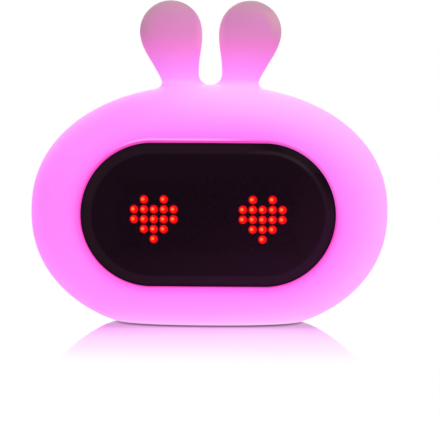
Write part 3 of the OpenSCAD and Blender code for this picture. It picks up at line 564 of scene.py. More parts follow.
@dataclass(frozen=True)
class SmokedLens(Finish):
    """Dark clear plastic, printed black at the back except before the dots, with painted
    reflections of the room on its face and bevel.
    """

    tint: Colour = rgb(12, 4, 10)
    edge: Colour = rgb(20, 9, 16)
    centre: float = WINDOW_Z
    straight: float = WINDOW_STRAIGHT
    flat_r: float = 24.5
    flat_end: Pair = (24.2, 25.0)

    # Painted reflections of the room on the flat face, deeper at the lower right.
    painted_face_light: Colour = rgb(18, 7, 16)
    low: Colour = rgb(34, 12, 28)
    slope: Pair = (60.0, 34.0)
    slope_from: Pair = (-0.3, 1.5)
    slope_share: float = 0.75
    cloud_share: float = 0.3
    cloud_drop: float = 0.1

    # Painted reflections on the bevel, with painted shade at its outer rim and upper right.
    bevel_light: Colour = rgb(27, 15, 23)
    bevel_warm_light: Colour = rgb(40, 14, 38)
    bevel_dark: Colour = rgb(9, 4, 8)
    dark_out: Pair = (0.9, 2.4)
    dark_right: Pair = (14.0, 28.0)
    dark_above: Pair = (0.0, 14.0)
    bevel_rim_shade: Colour = rgb(9, 2, 12)
    rim_out: Pair = (2.9, 4.4)
    rim_share: float = 0.8

    # Painted highlight: a soft arc along the bevel's inner edge at the upper right.
    crescent_highlight: Colour = rgb(40, 27, 33)
    crescent_out: float = 0.85
    crescent_w: float = 0.6
    crescent_from: Pair = (14.0, 27.0)
    crescent_to: Pair = (36.0, 46.0)
    crescent_above: Pair = (4.0, 12.0)

    clear_w: float = 33.0
    clear_h: float = 11.5
    clear_fade: float = 7.0
    clear_alpha: float = 0.68

    cloud: Pair = (16.0, 1.0)
    roughness: Pair = (0.09, 0.14)
    specular: float = 0.01
    grain: Pair = (900.0, 2.0)
    relief: Pair = (0.02, 0.01)

    def glow(self, x: Signal, up: Signal, cloud: Signal) -> bpy.types.NodeSocket:
        """Paints the room's faint light as reflections on the flat face and the bevel, lighter at
        the lower right and with painted shade at the bevel's outer rim and upper right.

        Args:
            x: The place to the right of the lens's middle.
            up: The height above it.
            cloud: Slow noise.

        Returns:
            The light's colour.
        """
        from_middle = from_bar(x, up, self.straight)
        lower_right = (x / self.slope[0] - up / self.slope[1]).ease(*self.slope_from)
        share = lower_right * self.slope_share + cloud * self.cloud_share - self.cloud_drop
        flat = share.blend(self.painted_face_light, self.low)
        out = from_middle - self.flat_r
        dark = out.ease(*self.dark_out) * x.ease(*self.dark_right) * up.ease(*self.dark_above)
        bevel = dark.blend(lower_right.blend(self.bevel_light, self.bevel_warm_light), self.bevel_dark)
        bevel = (out.ease(*self.rim_out) * self.rim_share).blend(bevel, self.bevel_rim_shade)
        # Painted highlight arc along the bevel's inner edge.
        ridge = out.peak(self.crescent_out, self.crescent_w) * x.ease(*self.crescent_from)
        ridge = ridge * x.fall(*self.crescent_to) * up.ease(*self.crescent_above)
        return ridge.blend(from_middle.ease(*self.flat_end).blend(flat, bevel), self.crescent_highlight)

    def material(self) -> bpy.types.Material:
        """Builds the material.

        Returns:
            The lens, see-through only before the dots.
        """
        graph = Graph("smoked_lens")
        x, _, z = graph.axes()
        up = z - self.centre
        cloud = graph.noise(*self.cloud)
        bevel = from_bar(x, up, self.straight).ease(*self.flat_end)
        beside = abs(x).ease(self.clear_w, self.clear_w + self.clear_fade)
        above = abs(up).ease(self.clear_h, self.clear_h + self.clear_fade)
        return graph.surface({
            "Base Color": bevel.blend(self.tint, self.edge),
            "Roughness": cloud.between(*self.roughness),
            "Specular IOR Level": self.specular,
            "Alpha": beside.at_least(above).between(self.clear_alpha, 1.0),
            # Painted reflections of the room, as emission.
            "Emission Color": self.glow(x, up, cloud),
            "Emission Strength": 1.0,
            "Normal": graph.noise(*self.grain).bump(*self.relief),
        })


@dataclass(frozen=True)
class DotEpoxy(Finish):
    """The coloured epoxy of the display's dots, lit or dark."""

    name: str
    body: Colour
    rim: Colour
    glow: Colour
    hot: Colour
    strength: float
    pitch: float = 4.0
    centre: float = WINDOW_Z
    rim_r: Pair = (1.0, 1.75)
    hot_at: Pair = (-0.42, 0.18)
    hot_r: Pair = (0.15, 0.95)
    grain: float = 1500.0
    roughness: Pair = (0.25, 0.35)
    specular: float = 0.2

    def material(self) -> bpy.types.Material:
        """Builds the material.

        Returns:
            The epoxy, with one bright point in each dot.
        """
        graph = Graph(self.name)
        x, _, z = graph.axes()
        across = x.in_cell(self.pitch)
        up = (z - self.centre).in_cell(self.pitch)
        near = span(across - self.hot_at[0], up - self.hot_at[1]).fall(*self.hot_r)
        glow = span(across, up).ease(*self.rim_r).blend(self.glow, self.rim)
        return graph.surface({
            "Base Color": self.body,
            "Roughness": graph.noise(self.grain).between(*self.roughness),
            "Specular IOR Level": self.specular,
            "Emission Color": near.blend(glow, self.hot),
            "Emission Strength": self.strength,
        })


@dataclass(frozen=True)
class Moulding(Finish):
    """Moulded plastic with a fine spark-eroded grain."""

    name: str
    colour: Colour
    shade: Colour
    roughness: float = 0.45
    grain: float = 1800.0
    depth: float = 0.02
    specular: float = 0.4
    spread: float = 0.06
    cloud: Pair = (60.0, 2.0)
    shade_share: float = 0.5
    strength: float = 0.2

    def material(self) -> bpy.types.Material:
        """Builds the material.

        Returns:
            The plastic in its colour.
        """
        graph = Graph(self.name)
        shade = graph.noise(*self.cloud) * self.shade_share
        texture = graph.noise(self.grain)
        low, high = self.roughness - self.spread, self.roughness + self.spread
        return graph.surface({
            "Base Color": shade.blend(self.colour, self.shade),
            "Roughness": texture.between(low, high),
            "Specular IOR Level": self.specular,
            "Normal": texture.bump(self.strength, self.depth),
        })


@dataclass(frozen=True)
class MaskedCase(Finish):
    """White case plastic whose front plate is printed black behind the lens."""

    white: Colour = rgb(240, 240, 237)
    black: Colour = rgb(9, 7, 8)
    print_edge: Pair = (-33.75, -33.65)
    grain: float = 1700.0
    roughness: Pair = (0.55, 0.65)
    specular: float = 0.25
    relief: Pair = (0.15, 0.02)

    def material(self) -> bpy.types.Material:
        """Builds the material.

        Returns:
            The case plastic.
        """
        graph = Graph("printed_case")
        _, y, _ = graph.axes()
        texture = graph.noise(self.grain)
        return graph.surface({
            "Base Color": y.ease(*self.print_edge).blend(self.black, self.white),
            "Roughness": texture.between(*self.roughness),
            "Specular IOR Level": self.specular,
            "Normal": texture.bump(*self.relief),
        })


@dataclass(frozen=True)
class Metal(Finish):
    """Plated or drawn metal with a direction to its scratches."""

    name: str
    colour: Colour
    roughness: float = 0.3
    stretch: Point = (1.0, 12.0, 1.0)
    metallic: float = 1.0
    spread: float = 0.1
    grain: Pair = (900.0, 4.0)
    relief: Pair = (0.12, 0.01)

    def material(self) -> bpy.types.Material:
        """Builds the material.

        Returns:
            The metal in its colour.
        """
        graph = Graph(self.name)
        lines = graph.noise(*self.grain, self.stretch)
        low, high = self.roughness - self.spread, self.roughness + self.spread
        return graph.surface({
            "Base Color": self.colour,
            "Metallic": self.metallic,
            "Roughness": lines.between(low, high),
            "Normal": lines.bump(*self.relief),
        })


@dataclass(frozen=True)
class Laminate(Finish):
    """Green solder mask over copper tracks."""

    green: Colour = rgb(22, 96, 52)
    track: Colour = rgb(46, 128, 72)
    block: float = 190.0
    tracks_each: float = 5.0
    track_edge: Pair = (0.42, 0.58)
    roughness: Pair = (0.3, 0.38)
    relief: Pair = (0.25, 0.03)

    def material(self) -> bpy.types.Material:
        """Builds the material.

        Returns:
            The face of a circuit board.
        """
        graph = Graph("board_laminate")
        blocks = graph.cells(self.block, {"distance": "MANHATTAN", "feature": "F2"})
        tracks = (blocks * self.tracks_each).part().ease(*self.track_edge)
        return graph.surface({
            "Base Color": tracks.blend(self.green, self.track),
            "Roughness": tracks.between(*self.roughness),
            "Normal": tracks.bump(*self.relief),
        })


@dataclass(frozen=True)
class Foam(Finish):
    """Closed foam with small open bubbles on its cut face."""

    colour: Colour = rgb(74, 74, 80)
    bubble: Colour = rgb(34, 34, 38)
    bubble_edge: Pair = (0.2, 0.6)
    bubbles: float = 1500.0
    roughness: float = 0.9
    relief: Pair = (0.6, 0.1)

    def material(self) -> bpy.types.Material:
        """Builds the material.

        Returns:
            The foam.
        """
        graph = Graph("closed_foam")
        bubbles = graph.cells(self.bubbles)
        return graph.surface({
            "Base Color": bubbles.ease(*self.bubble_edge).blend(self.bubble, self.colour),
            "Roughness": self.roughness,
            "Normal": bubbles.bump(*self.relief),
        })


@dataclass(frozen=True)
class Woven(Finish):
    """Fine open cloth."""

    thread: Colour = rgb(36, 36, 40)
    gap: Colour = rgb(8, 8, 10)
    pitch: float = 0.35
    thread_edge: Pair = (0.2, 0.45)
    roughness: float = 0.85
    relief: Pair = (0.7, 0.08)

    def material(self) -> bpy.types.Material:
        """Builds the material.

        Returns:
            The cloth.
        """
        graph = Graph("mesh_cloth")
        x, _, z = graph.axes()
        warp, weft = (abs((axis / self.pitch).part() - 0.5) for axis in (x, z))
        weave = span(warp, weft)
        return graph.surface({
            "Base Color": weave.ease(*self.thread_edge).blend(self.gap, self.thread),
            "Roughness": self.roughness,
            "Normal": weave.bump(*self.relief),
        })


@dataclass(frozen=True)
class ClearPipe(Finish):
    """Clear acrylic with a frosted end."""

    tint: Colour = rgb(226, 236, 244)
    frost: float = 1900.0
    roughness: Pair = (0.12, 0.27)
    alpha: float = 0.7
    relief: Pair = (0.15, 0.02)

    def material(self) -> bpy.types.Material:
        """Builds the material.

        Returns:
            The acrylic.
        """
        graph = Graph("clear_pipe")
        frost = graph.noise(self.frost)
        return graph.surface({
            "Base Color": self.tint,
            "Roughness": frost.between(*self.roughness),
            "Alpha": self.alpha,
            "Normal": frost.bump(*self.relief),
        })


@dataclass(frozen=True)
class ChipLight(Finish):
    """A small light chip: yellow phosphor in a white cup."""

    cup: Colour = rgb(236, 232, 222)
    phosphor: Colour = rgb(250, 214, 120)
    light: Colour = rgb(255, 150, 255)
    cup_edge: Pair = (0.2, 0.5)
    cups: float = 160.0
    grain: float = 800.0
    roughness: Pair = (0.3, 0.4)
    strength: float = 0.6

    def material(self) -> bpy.types.Material:
        """Builds the material.

        Returns:
            The chip, lit.
        """
        graph = Graph("light_chip")
        spots = graph.cells(self.cups)
        return graph.surface({
            "Base Color": spots.ease(*self.cup_edge).blend(self.phosphor, self.cup),
            "Roughness": graph.noise(self.grain).between(*self.roughness),
            "Emission Color": self.light,
            "Emission Strength": self.strength,
        })


@dataclass(frozen=True)
class StudioFloor(Finish):
    """Polished white floor that keeps a shadow and mirrors the clock at a grazing angle, with a
    painted contact shadow under the clock.
    """

    matt: float = 0.26
    lift: float = 0.85
    shade_edge: Pair = (56.0, 102.0)

    mirror_share: float = 0.98
    mirror_ahead: float = 37.0
    mirror_aside: float = 84.0
    mirror_fade: float = 62.0
    mirror_end: Pair = (80.0, 140.0)
    polish: float = 1.5
    grazing_gain: float = 2.0
    gloss_roughness: float = 0.06

    # Painted contact shadow under the clock, in the floor's glow and its gloss; the glow's shadow
    # is tinted by the clock's glow.
    contact_x: Pair = (42.0, 60.0)
    contact_y: Pair = (20.0, 46.0)
    contact_dark: Colour = (0.72, 0.72, 0.72, 1.0)
    painted_shadow_glow: Colour = (0.42, 0.32, 0.42, 1.0)
    painted_shadow_share: float = 0.8

    def mirrored(self, x: Signal, y: Signal, seen: Signal) -> Signal:
        """Finds how much of the floor is a mirror.

        Args:
            x: The place to the right.
            y: The place to the back.
            seen: 1 where the floor is looked at, 0 where it lights the clock.

        Returns:
            The mirror's share.
        """
        ahead = (abs(y) - self.mirror_ahead).at_least(0.0)
        aside = (abs(x) - self.mirror_aside).at_least(0.0)
        away = span(ahead, aside)
        mirrored = away.fade(self.mirror_fade) * self.mirror_share * away.fall(*self.mirror_end)
        fresnel = x.graph.add("ShaderNodeFresnel", None, {"IOR": self.polish}).outputs[0]
        grazing = (Signal(x.graph, fresnel) * self.grazing_gain).at_most(1.0)
        return mirrored * (1.0 - seen * (1.0 - grazing))

    def material(self) -> bpy.types.Material:
        """Builds the material.

        Returns:
            The floor.
        """
        graph = Graph("studio_floor")
        x, y, _ = graph.axes()
        seen = graph.seen()
        mirrored = self.mirrored(x, y, seen)
        far = span(x, y).ease(*self.shade_edge)
        under_painted_shadow = abs(x).fall(*self.contact_x) * abs(y).fall(*self.contact_y)
        matt = far.blend(grey(self.matt), grey(0.0))
        plain = graph.add("ShaderNodeBsdfDiffuse", None, {"Color": matt})
        glow = far.blend(grey(self.lift), WHITE)
        # Painted shadow under the clock, dimming the floor's glow.
        glow = (under_painted_shadow * self.painted_shadow_share).blend(glow, self.painted_shadow_glow)
        lift = graph.add("ShaderNodeEmission", None, {"Color": glow, "Strength": seen})
        white = graph.add("ShaderNodeAddShader", None, {0: plain.outputs[0], 1: lift.outputs[0]})
        # Painted shadow in the gloss near the contact.
        tone = under_painted_shadow.blend(WHITE, self.contact_dark)
        gloss = graph.add("ShaderNodeBsdfGlossy", None, {
            "Color": tone, "Roughness": self.gloss_roughness,
        })
        both = graph.add("ShaderNodeMixShader", None, {
            0: mirrored, 1: white.outputs[0], 2: gloss.outputs[0],
        })
        graph.add("ShaderNodeOutputMaterial", None, {"Surface": both.outputs[0]})
        return graph.material


# ---------- Modelling bench ----------


class Kind(Enum):
    """What a selection is made of."""

    VERTS = "VERT"
    EDGES = "EDGE"
    FACES = "FACE"


class Bench:
    """Blender's modelling operators, used on one object at a time."""

    @staticmethod
    def clear() -> None:
        """Leaves edit mode and deselects every object."""
        if bpy.context.mode != "OBJECT":
            bpy.ops.object.mode_set(mode="OBJECT")
        bpy.ops.object.select_all(action="DESELECT")

    @staticmethod
    def take(obj: bpy.types.Object) -> None:
        """Selects one object alone and makes it the active one.

        Args:
            obj: The object to work on.
        """
        Bench.clear()
        obj.select_set(True)
        bpy.context.view_layer.objects.active = obj

    @staticmethod
    def start(add: Callable[..., set], name: str, **sizes: object) -> bpy.types.Object:
        """Adds a primitive and applies its place.

        Args:
            add: The operator that adds it.
            name: The new object's name.
            sizes: The operator's options, in metres and radians.

        Returns:
            The new object, at the origin and unturned.
        """
        Bench.clear()
        add(**sizes)
        obj = bpy.context.active_object
        obj.name = obj.data.name = name
        bpy.ops.object.transform_apply(location=True, rotation=True, scale=True)
        return obj

    @staticmethod
    def copy(obj: bpy.types.Object, name: str) -> bpy.types.Object:
        """Copies an object with a mesh of its own.

        Args:
            obj: The object to copy.
            name: The copy's name.

        Returns:
            The copy.
        """
        Bench.clear()
        twin = bpy.data.objects.new(name, obj.data.copy())
        twin.data.name = name
        bpy.context.scene.collection.objects.link(twin)
        return twin

    @staticmethod
    def edit(obj: bpy.types.Object, everything: bool = False) -> None:
        """Goes into edit mode on one object.

        Args:
            obj: The object to edit.
            everything: Whether all of it is selected, or nothing.
        """
        Bench.take(obj)
        bpy.ops.object.mode_set(mode="EDIT")
        bpy.ops.mesh.select_all(action="SELECT" if everything else "DESELECT")

    @staticmethod
    def pick(obj: bpy.types.Object, kind: Kind, test: Callable[[object], bool]) -> None:
        """Selects what passes a test, and nothing else.

        Args:
            obj: The object in edit mode.
            kind: What is tested.
            test: Says whether a vertex, an edge or a face is wanted.
        """
        bpy.ops.mesh.select_mode(type=kind.value)
        bpy.ops.mesh.select_all(action="DESELECT")
        shape = bmesh.from_edit_mesh(obj.data)
        for item in getattr(shape, kind.name.lower()):
            if test(item):
                item.select_set(True)
        shape.select_flush_mode()
        bmesh.update_edit_mesh(obj.data)

    @staticmethod
    def extrude(step: Point) -> None:
        """Extrudes the selection by a step in millimetres."""
        move = {"value": metres(step), "orient_type": "GLOBAL"}
        bpy.ops.mesh.extrude_region_move(TRANSFORM_OT_translate=move)

    @staticmethod
    def move(step: Point) -> None:
        """Moves the selection by a step in millimetres."""
        bpy.ops.transform.translate(value=metres(step))

    @staticmethod
    def resize(factors: Point, centre: Point) -> None:
        """Resizes the selection about a centre in millimetres."""
        bpy.ops.transform.resize(value=factors, center_override=metres(centre))

    @staticmethod
    def turn(angle: float, axis: str, centre: Point) -> None:
        """Turns the selection by the right-hand rule.

        Args:
            angle: The turn, in degrees.
            axis: The axis: "X", "Y" or "Z".
            centre: A point on the axis, in millimetres.
        """
        bpy.ops.transform.rotate(
            value=-math.radians(angle), orient_axis=axis, orient_type="GLOBAL",
            center_override=metres(centre),
        )

    @staticmethod
    def apply(obj: bpy.types.Object, kind: str, **settings: object) -> None:
        """Adds a modifier and applies it.

        Args:
            obj: The object it works on.
            kind: The modifier's type.
            settings: Its settings.
        """
        Bench.take(obj)
        modifier = obj.modifiers.new(kind.lower(), kind)
        for key, value in settings.items():
            setattr(modifier, key, value)
        bpy.ops.object.modifier_apply(modifier=modifier.name)

    @staticmethod
    def unite(pieces: list[bpy.types.Object]) -> bpy.types.Object:
        """Unites closed shapes.

        Args:
            pieces: The shapes.

        Returns:
            The first of them, which now holds them all.
        """
        first, *others = pieces
        for other in others:
            Bench.apply(first, "BOOLEAN", operation="UNION", object=other, solver="EXACT")
            bpy.data.objects.remove(other)
        return first

    @staticmethod
    def tidy(obj: bpy.types.Object, angle: float = 40.0) -> bpy.types.Object:
        """Merges doubles, turns faces outwards and smooths up to an angle.

        Args:
            obj: The finished object.
            angle: The sharpest bend that is shaded smooth, in degrees.

        Returns:
            The same object.
        """
        Bench.edit(obj, everything=True)
        bpy.ops.mesh.remove_doubles(threshold=0.002 * MM)
        bpy.ops.mesh.normals_make_consistent(inside=False)
        Bench.take(obj)
        bpy.ops.object.shade_smooth_by_angle(angle=math.radians(angle))
        return obj

    @staticmethod
    def dress(obj: bpy.types.Object, material: bpy.types.Material) -> None:
        """Gives an object one material.

        Args:
            obj: The object.
            material: What it is made of.
        """
        obj.data.materials.clear()
        obj.data.materials.append(material)
        for face in obj.data.polygons:
            face.material_index = 0


# ---------- Sub-assemblies ----------


@dataclass(frozen=True)
class Opening:
    """One opening of the soft body, with the pocket that holds what closes it.

    The skin ends at y. The mouth, the pocket and the hole are the radii of their ends,
    the floor and the inside are places along Y, and side is -1 in front and 1 behind.
    """

    y: float
    mouth: float
    pocket: float
    hole: float
    floor: float
    inside: float
    bead: float
    side: int


@dataclass
class SiliconeBody:
    """The soft body: one hollow moulding with two ears and a lip round each opening."""

    front: Opening = Opening(-37.3, 27.3, POCKET_R, 26.8, -33.55, -31.15, 0.32, -1)
    back: Opening = Opening(38.5, 25.8, 27.8, 25.3, 34.45, 32.05, 0.0, 1)
    half_width: float = HALF_WIDTH
    half_height: float = HALF_HEIGHT
    squareness: float = SQUARENESS
    crown: float = CROWN
    waist: float = WINDOW_Z
    straight: float = WINDOW_STRAIGHT
    swell: float = 2.2
    skin: float = 3.0
    mouth_power: float = 3.0
    lip_r: float = 1.0
    lip_arcs: int = 6
    lip_steps: tuple[float, ...] = (0.0, 0.15, 0.3, 0.45, 0.6, 0.8, 1.0, 1.3, 1.7, 2.2, 2.8)
    bead_w: float = 0.55
    sole_soft: float = 1.1
    columns: int = 216
    outer_rings: int = 34
    inner_rings: int = 12
    blank_r: float = 60.0
    blank_tube: float = 10.0
    smooth: float = 60.0

    ear_r: float = 12.9
    ear_x: float = 16.5
    ear_z: float = 120.5
    ear_root: float = 7.25
    ear_lean: float = 12.0
    ear_flat: float = 0.62
    ear_flare: float = 3.9
    ear_sides: int = 64
    ear_buried: Pair = (2.0, 0.12)
    flare_steps: tuple[float, ...] = (0.02, 0.07, 0.15, 0.27, 0.42, 0.6, 0.8, 1.0)
    neck_rings: int = 13
    neck_end: float = 0.8
    ball_angles: range = range(7, 86, 6)
    tip_inset: float = 0.45
    tip_dome: float = 0.06
    turn_over: float = 9.0
    settle_over: float = 9.0

    root_x: float = 11.8
    root_half: Point = (13.0, 9.0, 0.9)
    root_merge: float = 0.01

    def oval(self, angle: float, half_w: float, half_h: float, power: float) -> float:
        """Measures a squarish oval.

        Args:
            angle: The direction from its centre.
            half_w: Half its width.
            half_h: Half its height.
            power: How square it is; 2 is an ellipse.

        Returns:
            How far it reaches in that direction.
        """
        across = (abs(math.cos(angle)) / half_w) ** power
        up = (abs(math.sin(angle)) / half_h) ** power
        return (across + up) ** (-1 / power)

    def stadium(self, angle: float, r: float) -> float:
        """Measures a stadium as long as the window.

        Args:
            angle: The direction from its centre.
            r: The radius of its ends.

        Returns:
            How far it reaches in that direction.
        """
        c, s = abs(math.cos(angle)), abs(math.sin(angle))
        if s * self.straight >= c * r:
            return r / s
        inner = (self.straight * s) ** 2
        return self.straight * c + math.sqrt(max(r * r - inner, 0.0))

    def outline(self, angle: float, inset: float = 0.0) -> float:
        """How far the body's widest outline reaches in a direction."""
        width, height = self.half_width - inset, self.half_height - inset
        return self.oval(angle, width, height, self.squareness)

    def mouth(self, angle: float, r: float) -> float:
        """How far the rounded edge of an opening reaches in a direction."""
        return self.oval(angle, self.straight + r, r, self.mouth_power)

    def depth(self, angle: float, reach: float, y: float, mouth: float, inset: float = 0) -> float:
        """Finds the body's surface along Y.

        Args:
            angle: The direction from the window's axis.
            reach: The distance from that axis.
            y: The mouth's place.
            mouth: The radius of the mouth's ends.
            inset: How far inside the skin the surface is.

        Returns:
            The surface's y, in millimetres.
        """
        near, far = self.mouth(angle, mouth), self.outline(angle, inset)
        out = clamp((reach - near) / (far - near))
        return y * (1 - out ** self.swell) ** (1 / self.swell)

    def rings(self, start: float, end: float, count: int) -> list[float]:
        """Spaces rings between two reaches, closer towards the end."""
        return [start + (end - start) * math.sin(math.pi / 2 * k / count) for k in range(1, count)]

    def outer(self, angle: float, opening: Opening) -> list[Pair]:
        """Draws the outer skin from a lip to the waist.

        Args:
            angle: The direction from the window's axis.
            opening: The opening it starts at.

        Returns:
            Its points, as reach and y.
        """
        near = [self.stadium(angle, opening.pocket + self.lip_r + step) for step in self.lip_steps]
        far = self.rings(near[-1], self.outline(angle), self.outer_rings)
        ridge = [opening.bead * math.exp(-(step / self.bead_w) ** 2) for step in self.lip_steps]
        return [
            (reach, self.depth(angle, reach, opening.y, opening.mouth) - rise)
            for reach, rise in zip(near + far, ridge + [0.0] * len(far))
        ]

    def inner(self, angle: float, opening: Opening) -> list[Pair]:
        """Draws the inner skin from a lip to the waist.

        Args:
            angle: The direction from the window's axis.
            opening: The opening it starts at.

        Returns:
            Its points, as reach and y.
        """
        start, end = self.mouth(angle, opening.pocket), self.outline(angle, self.skin)
        return [
            (reach, self.depth(angle, reach, opening.inside, opening.pocket, self.skin))
            for reach in self.rings(start, end, self.inner_rings)
        ]

    def lip(self, angle: float, opening: Opening) -> list[Pair]:
        """Draws a lip from its inner face, past the pocket, to its crest.

        Args:
            angle: The direction from the window's axis.
            opening: The opening that it is round.

        Returns:
            Its points, as reach and y.
        """
        hole, pocket = self.stadium(angle, opening.hole), self.stadium(angle, opening.pocket)
        points = [
            (self.mouth(angle, opening.pocket), opening.inside),
            (hole, opening.inside),
            (hole, opening.floor),
            (pocket, opening.floor),
        ]
        crest_y = self.outer(angle, opening)[0][1]
        for k in range(self.lip_arcs):
            turn = math.pi / 2 * k / self.lip_arcs
            reach = self.stadium(angle, opening.pocket + self.lip_r * (1 - math.cos(turn)))
            points.append((reach, crest_y - opening.side * self.lip_r * (1 - math.sin(turn))))
        return points

    def loop(self, angle: float) -> list[Pair]:
        """Draws the skin's whole closed section.

        Args:
            angle: The direction from the window's axis.

        Returns:
            Its points, as reach and y.
        """
        outside = self.lip(angle, self.front) + self.outer(angle, self.front)
        outside += [(self.outline(angle), 0.0)] + self.outer(angle, self.back)[::-1]
        inside = self.lip(angle, self.back)[::-1] + self.inner(angle, self.back)
        inside += [(self.outline(angle, self.skin), 0.0)] + self.inner(angle, self.front)[::-1]
        return outside + inside

    def soften_sole(self, z: float, floor: float) -> float:
        """The height of the skin once its underside is rolled into a flat sole."""
        rise = z - floor
        return floor + (rise + math.sqrt(rise * rise + self.sole_soft ** 2)) / 2

    def build_skin(self) -> bpy.types.Object:
        """Shapes a torus into the hollow skin, section by section.

        Returns:
            The skin, without ears.
        """
        section = len(self.loop(0.0))
        skin = Bench.start(
            bpy.ops.mesh.primitive_torus_add, "silicone_skin",
            major_segments=self.columns, minor_segments=section,
            major_radius=self.blank_r * MM, minor_radius=self.blank_tube * MM,
        )
        inner_from = section - (2 * self.inner_rings - 1)
        for i in range(self.columns):
            angle = 2 * math.pi * (i + 0.5) / self.columns
            for j, (reach, y) in enumerate(self.loop(angle)):
                z = self.waist + reach * math.sin(angle)
                z = self.soften_sole(z, self.skin if j >= inner_from else 0.0)
                place = metres((reach * math.cos(angle), y, z))
                skin.data.vertices[i * section + j].co = place
        return Bench.tidy(skin, self.smooth)

    def drop(self, x: float, y: float) -> float:
        """Measures how the crown falls away.

        Args:
            x: The place to the right.
            y: The place to the back.

        Returns:
            How far the body lies below its top there.
        """
        across = (abs(x) / self.half_width) ** self.squareness
        back = (abs(y) / self.back.y) ** self.swell
        crown = self.half_height * (1 - across) ** (1 / self.squareness)
        return self.half_height - crown * (1 - back) ** (1 / self.swell)

    @property
    def ear_foot(self) -> float:
        """Where an ear leaves the crown, on its own axis from the middle of its round end."""
        return -(self.ear_z - self.crown) / math.cos(math.radians(self.ear_lean))

    def ear_half(self, s: float) -> float:
        """Measures an ear across.

        Args:
            s: The height along its own axis.

        Returns:
            Half its width there.
        """
        if s >= 0:
            return math.sqrt(max(self.ear_r ** 2 - s * s, 0.0))
        above = min(max(s - self.ear_foot, 0.0), self.ear_flare)
        flare = self.ear_flare - math.sqrt(self.ear_flare ** 2 - (self.ear_flare - above) ** 2)
        fall = max(s / (self.neck_end - self.ear_foot), -1.0)
        neck = (self.ear_r - self.ear_root) * (1 + math.cos(math.pi * fall)) / 2
        return self.ear_root + flare + neck

    def ear_turn(self, s: float) -> float:
        """The turn of an ear's ring, level at its foot and square to its axis above."""
        return self.ear_lean * clamp((s - self.ear_foot) / self.turn_over)

    def ear_axis(self, s: float) -> Point:
        """The middle of an ear at a height along its own axis."""
        lean = math.radians(self.ear_lean)
        return (self.ear_x + s * math.sin(lean), 0.0, self.ear_z + s * math.cos(lean))

    def ear_heights(self) -> list[float]:
        """Lists where an ear's rings lie along its own axis.

        Returns:
            The heights from root to tip.
        """
        foot, rings = self.ear_foot, self.neck_rings
        buried = [foot - depth for depth in self.ear_buried]
        flare = [foot + self.ear_flare * k for k in self.flare_steps]
        neck = [(foot + self.ear_flare) * (1 - k / rings) for k in range(1, rings + 1)]
        ball = [self.ear_r * math.sin(math.radians(angle)) for angle in self.ball_angles]
        return buried + flare + neck + ball

    def build_ear(self) -> bpy.types.Object:
        """Draws the right ear up from its root, ring by ring.

        Returns:
            The ear, with its foot following the crown.
        """
        heights = self.ear_heights()
        root = self.ear_axis(heights[0])
        ear = Bench.start(
            bpy.ops.mesh.primitive_circle_add, "ear", vertices=self.ear_sides,
            radius=self.ear_half(heights[0]) * MM, fill_type="NGON", location=metres(root),
        )
        Bench.edit(ear, everything=True)
        Bench.resize((1.0, self.ear_flat, 1.0), root)
        for low, high in zip(heights, heights[1:]):
            start, end = self.ear_axis(low), self.ear_axis(high)
            Bench.extrude(tuple(b - a for a, b in zip(start, end)))
            ratio = self.ear_half(high) / self.ear_half(low)
            Bench.resize((ratio, ratio, ratio), end)
            turned = self.ear_turn(high) - self.ear_turn(low)
            if abs(turned) > TINY:
                Bench.turn(turned, "Y", end)
        bpy.ops.mesh.inset(thickness=self.tip_inset * MM, depth=self.tip_dome * MM)
        Bench.clear()
        for vertex in ear.data.vertices:
            x, y, z = millimetres(vertex.co)
            settle = clamp(1 - (z - self.crown) / self.settle_over)
            vertex.co.z -= self.drop(x, y) * settle * settle * (3 - 2 * settle) * MM
        return Bench.tidy(ear, self.smooth)

    def smooth_roots(self, body: bpy.types.Object) -> None:
        """Runs the ears' roots into the crown.

        Args:
            body: The body with both ears.
        """
        def at_root(vertex: bmesh.types.BMVert) -> bool:
            """Tells the seam round an ear.

            Args:
                vertex: A vertex of the body.

            Returns:
                Whether it lies on the seam.
            """
            x, y, z = millimetres(vertex.co)
            off = (abs(x) - self.root_x, y, z - self.crown + self.drop(x, y))
            return all(abs(part) < half for part, half in zip(off, self.root_half))

        Bench.edit(body, everything=True)
        bpy.ops.mesh.remove_doubles(threshold=self.root_merge * MM)
        Bench.pick(body, Kind.VERTS, at_root)
        bpy.ops.mesh.vertices_smooth(factor=0.5, repeat=3)
        Bench.tidy(body, self.smooth)

    def build(self) -> bpy.types.Object:
        """Builds the body with both ears.

        Returns:
            The body.
        """
        body = self.build_skin()
        right = self.build_ear()
        left = Bench.copy(right, "left_ear")
        Bench.edit(left, everything=True)
        Bench.resize(MIRROR, ORIGIN)
        Bench.tidy(left, self.smooth)
        body = Bench.unite([body, right, left])
        self.smooth_roots(body)
        body.name = "silicone_body"
        Bench.dress(body, GlowingSilicone().material())
        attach(body, "clock_body")
        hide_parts("silicone_shell")
        return body


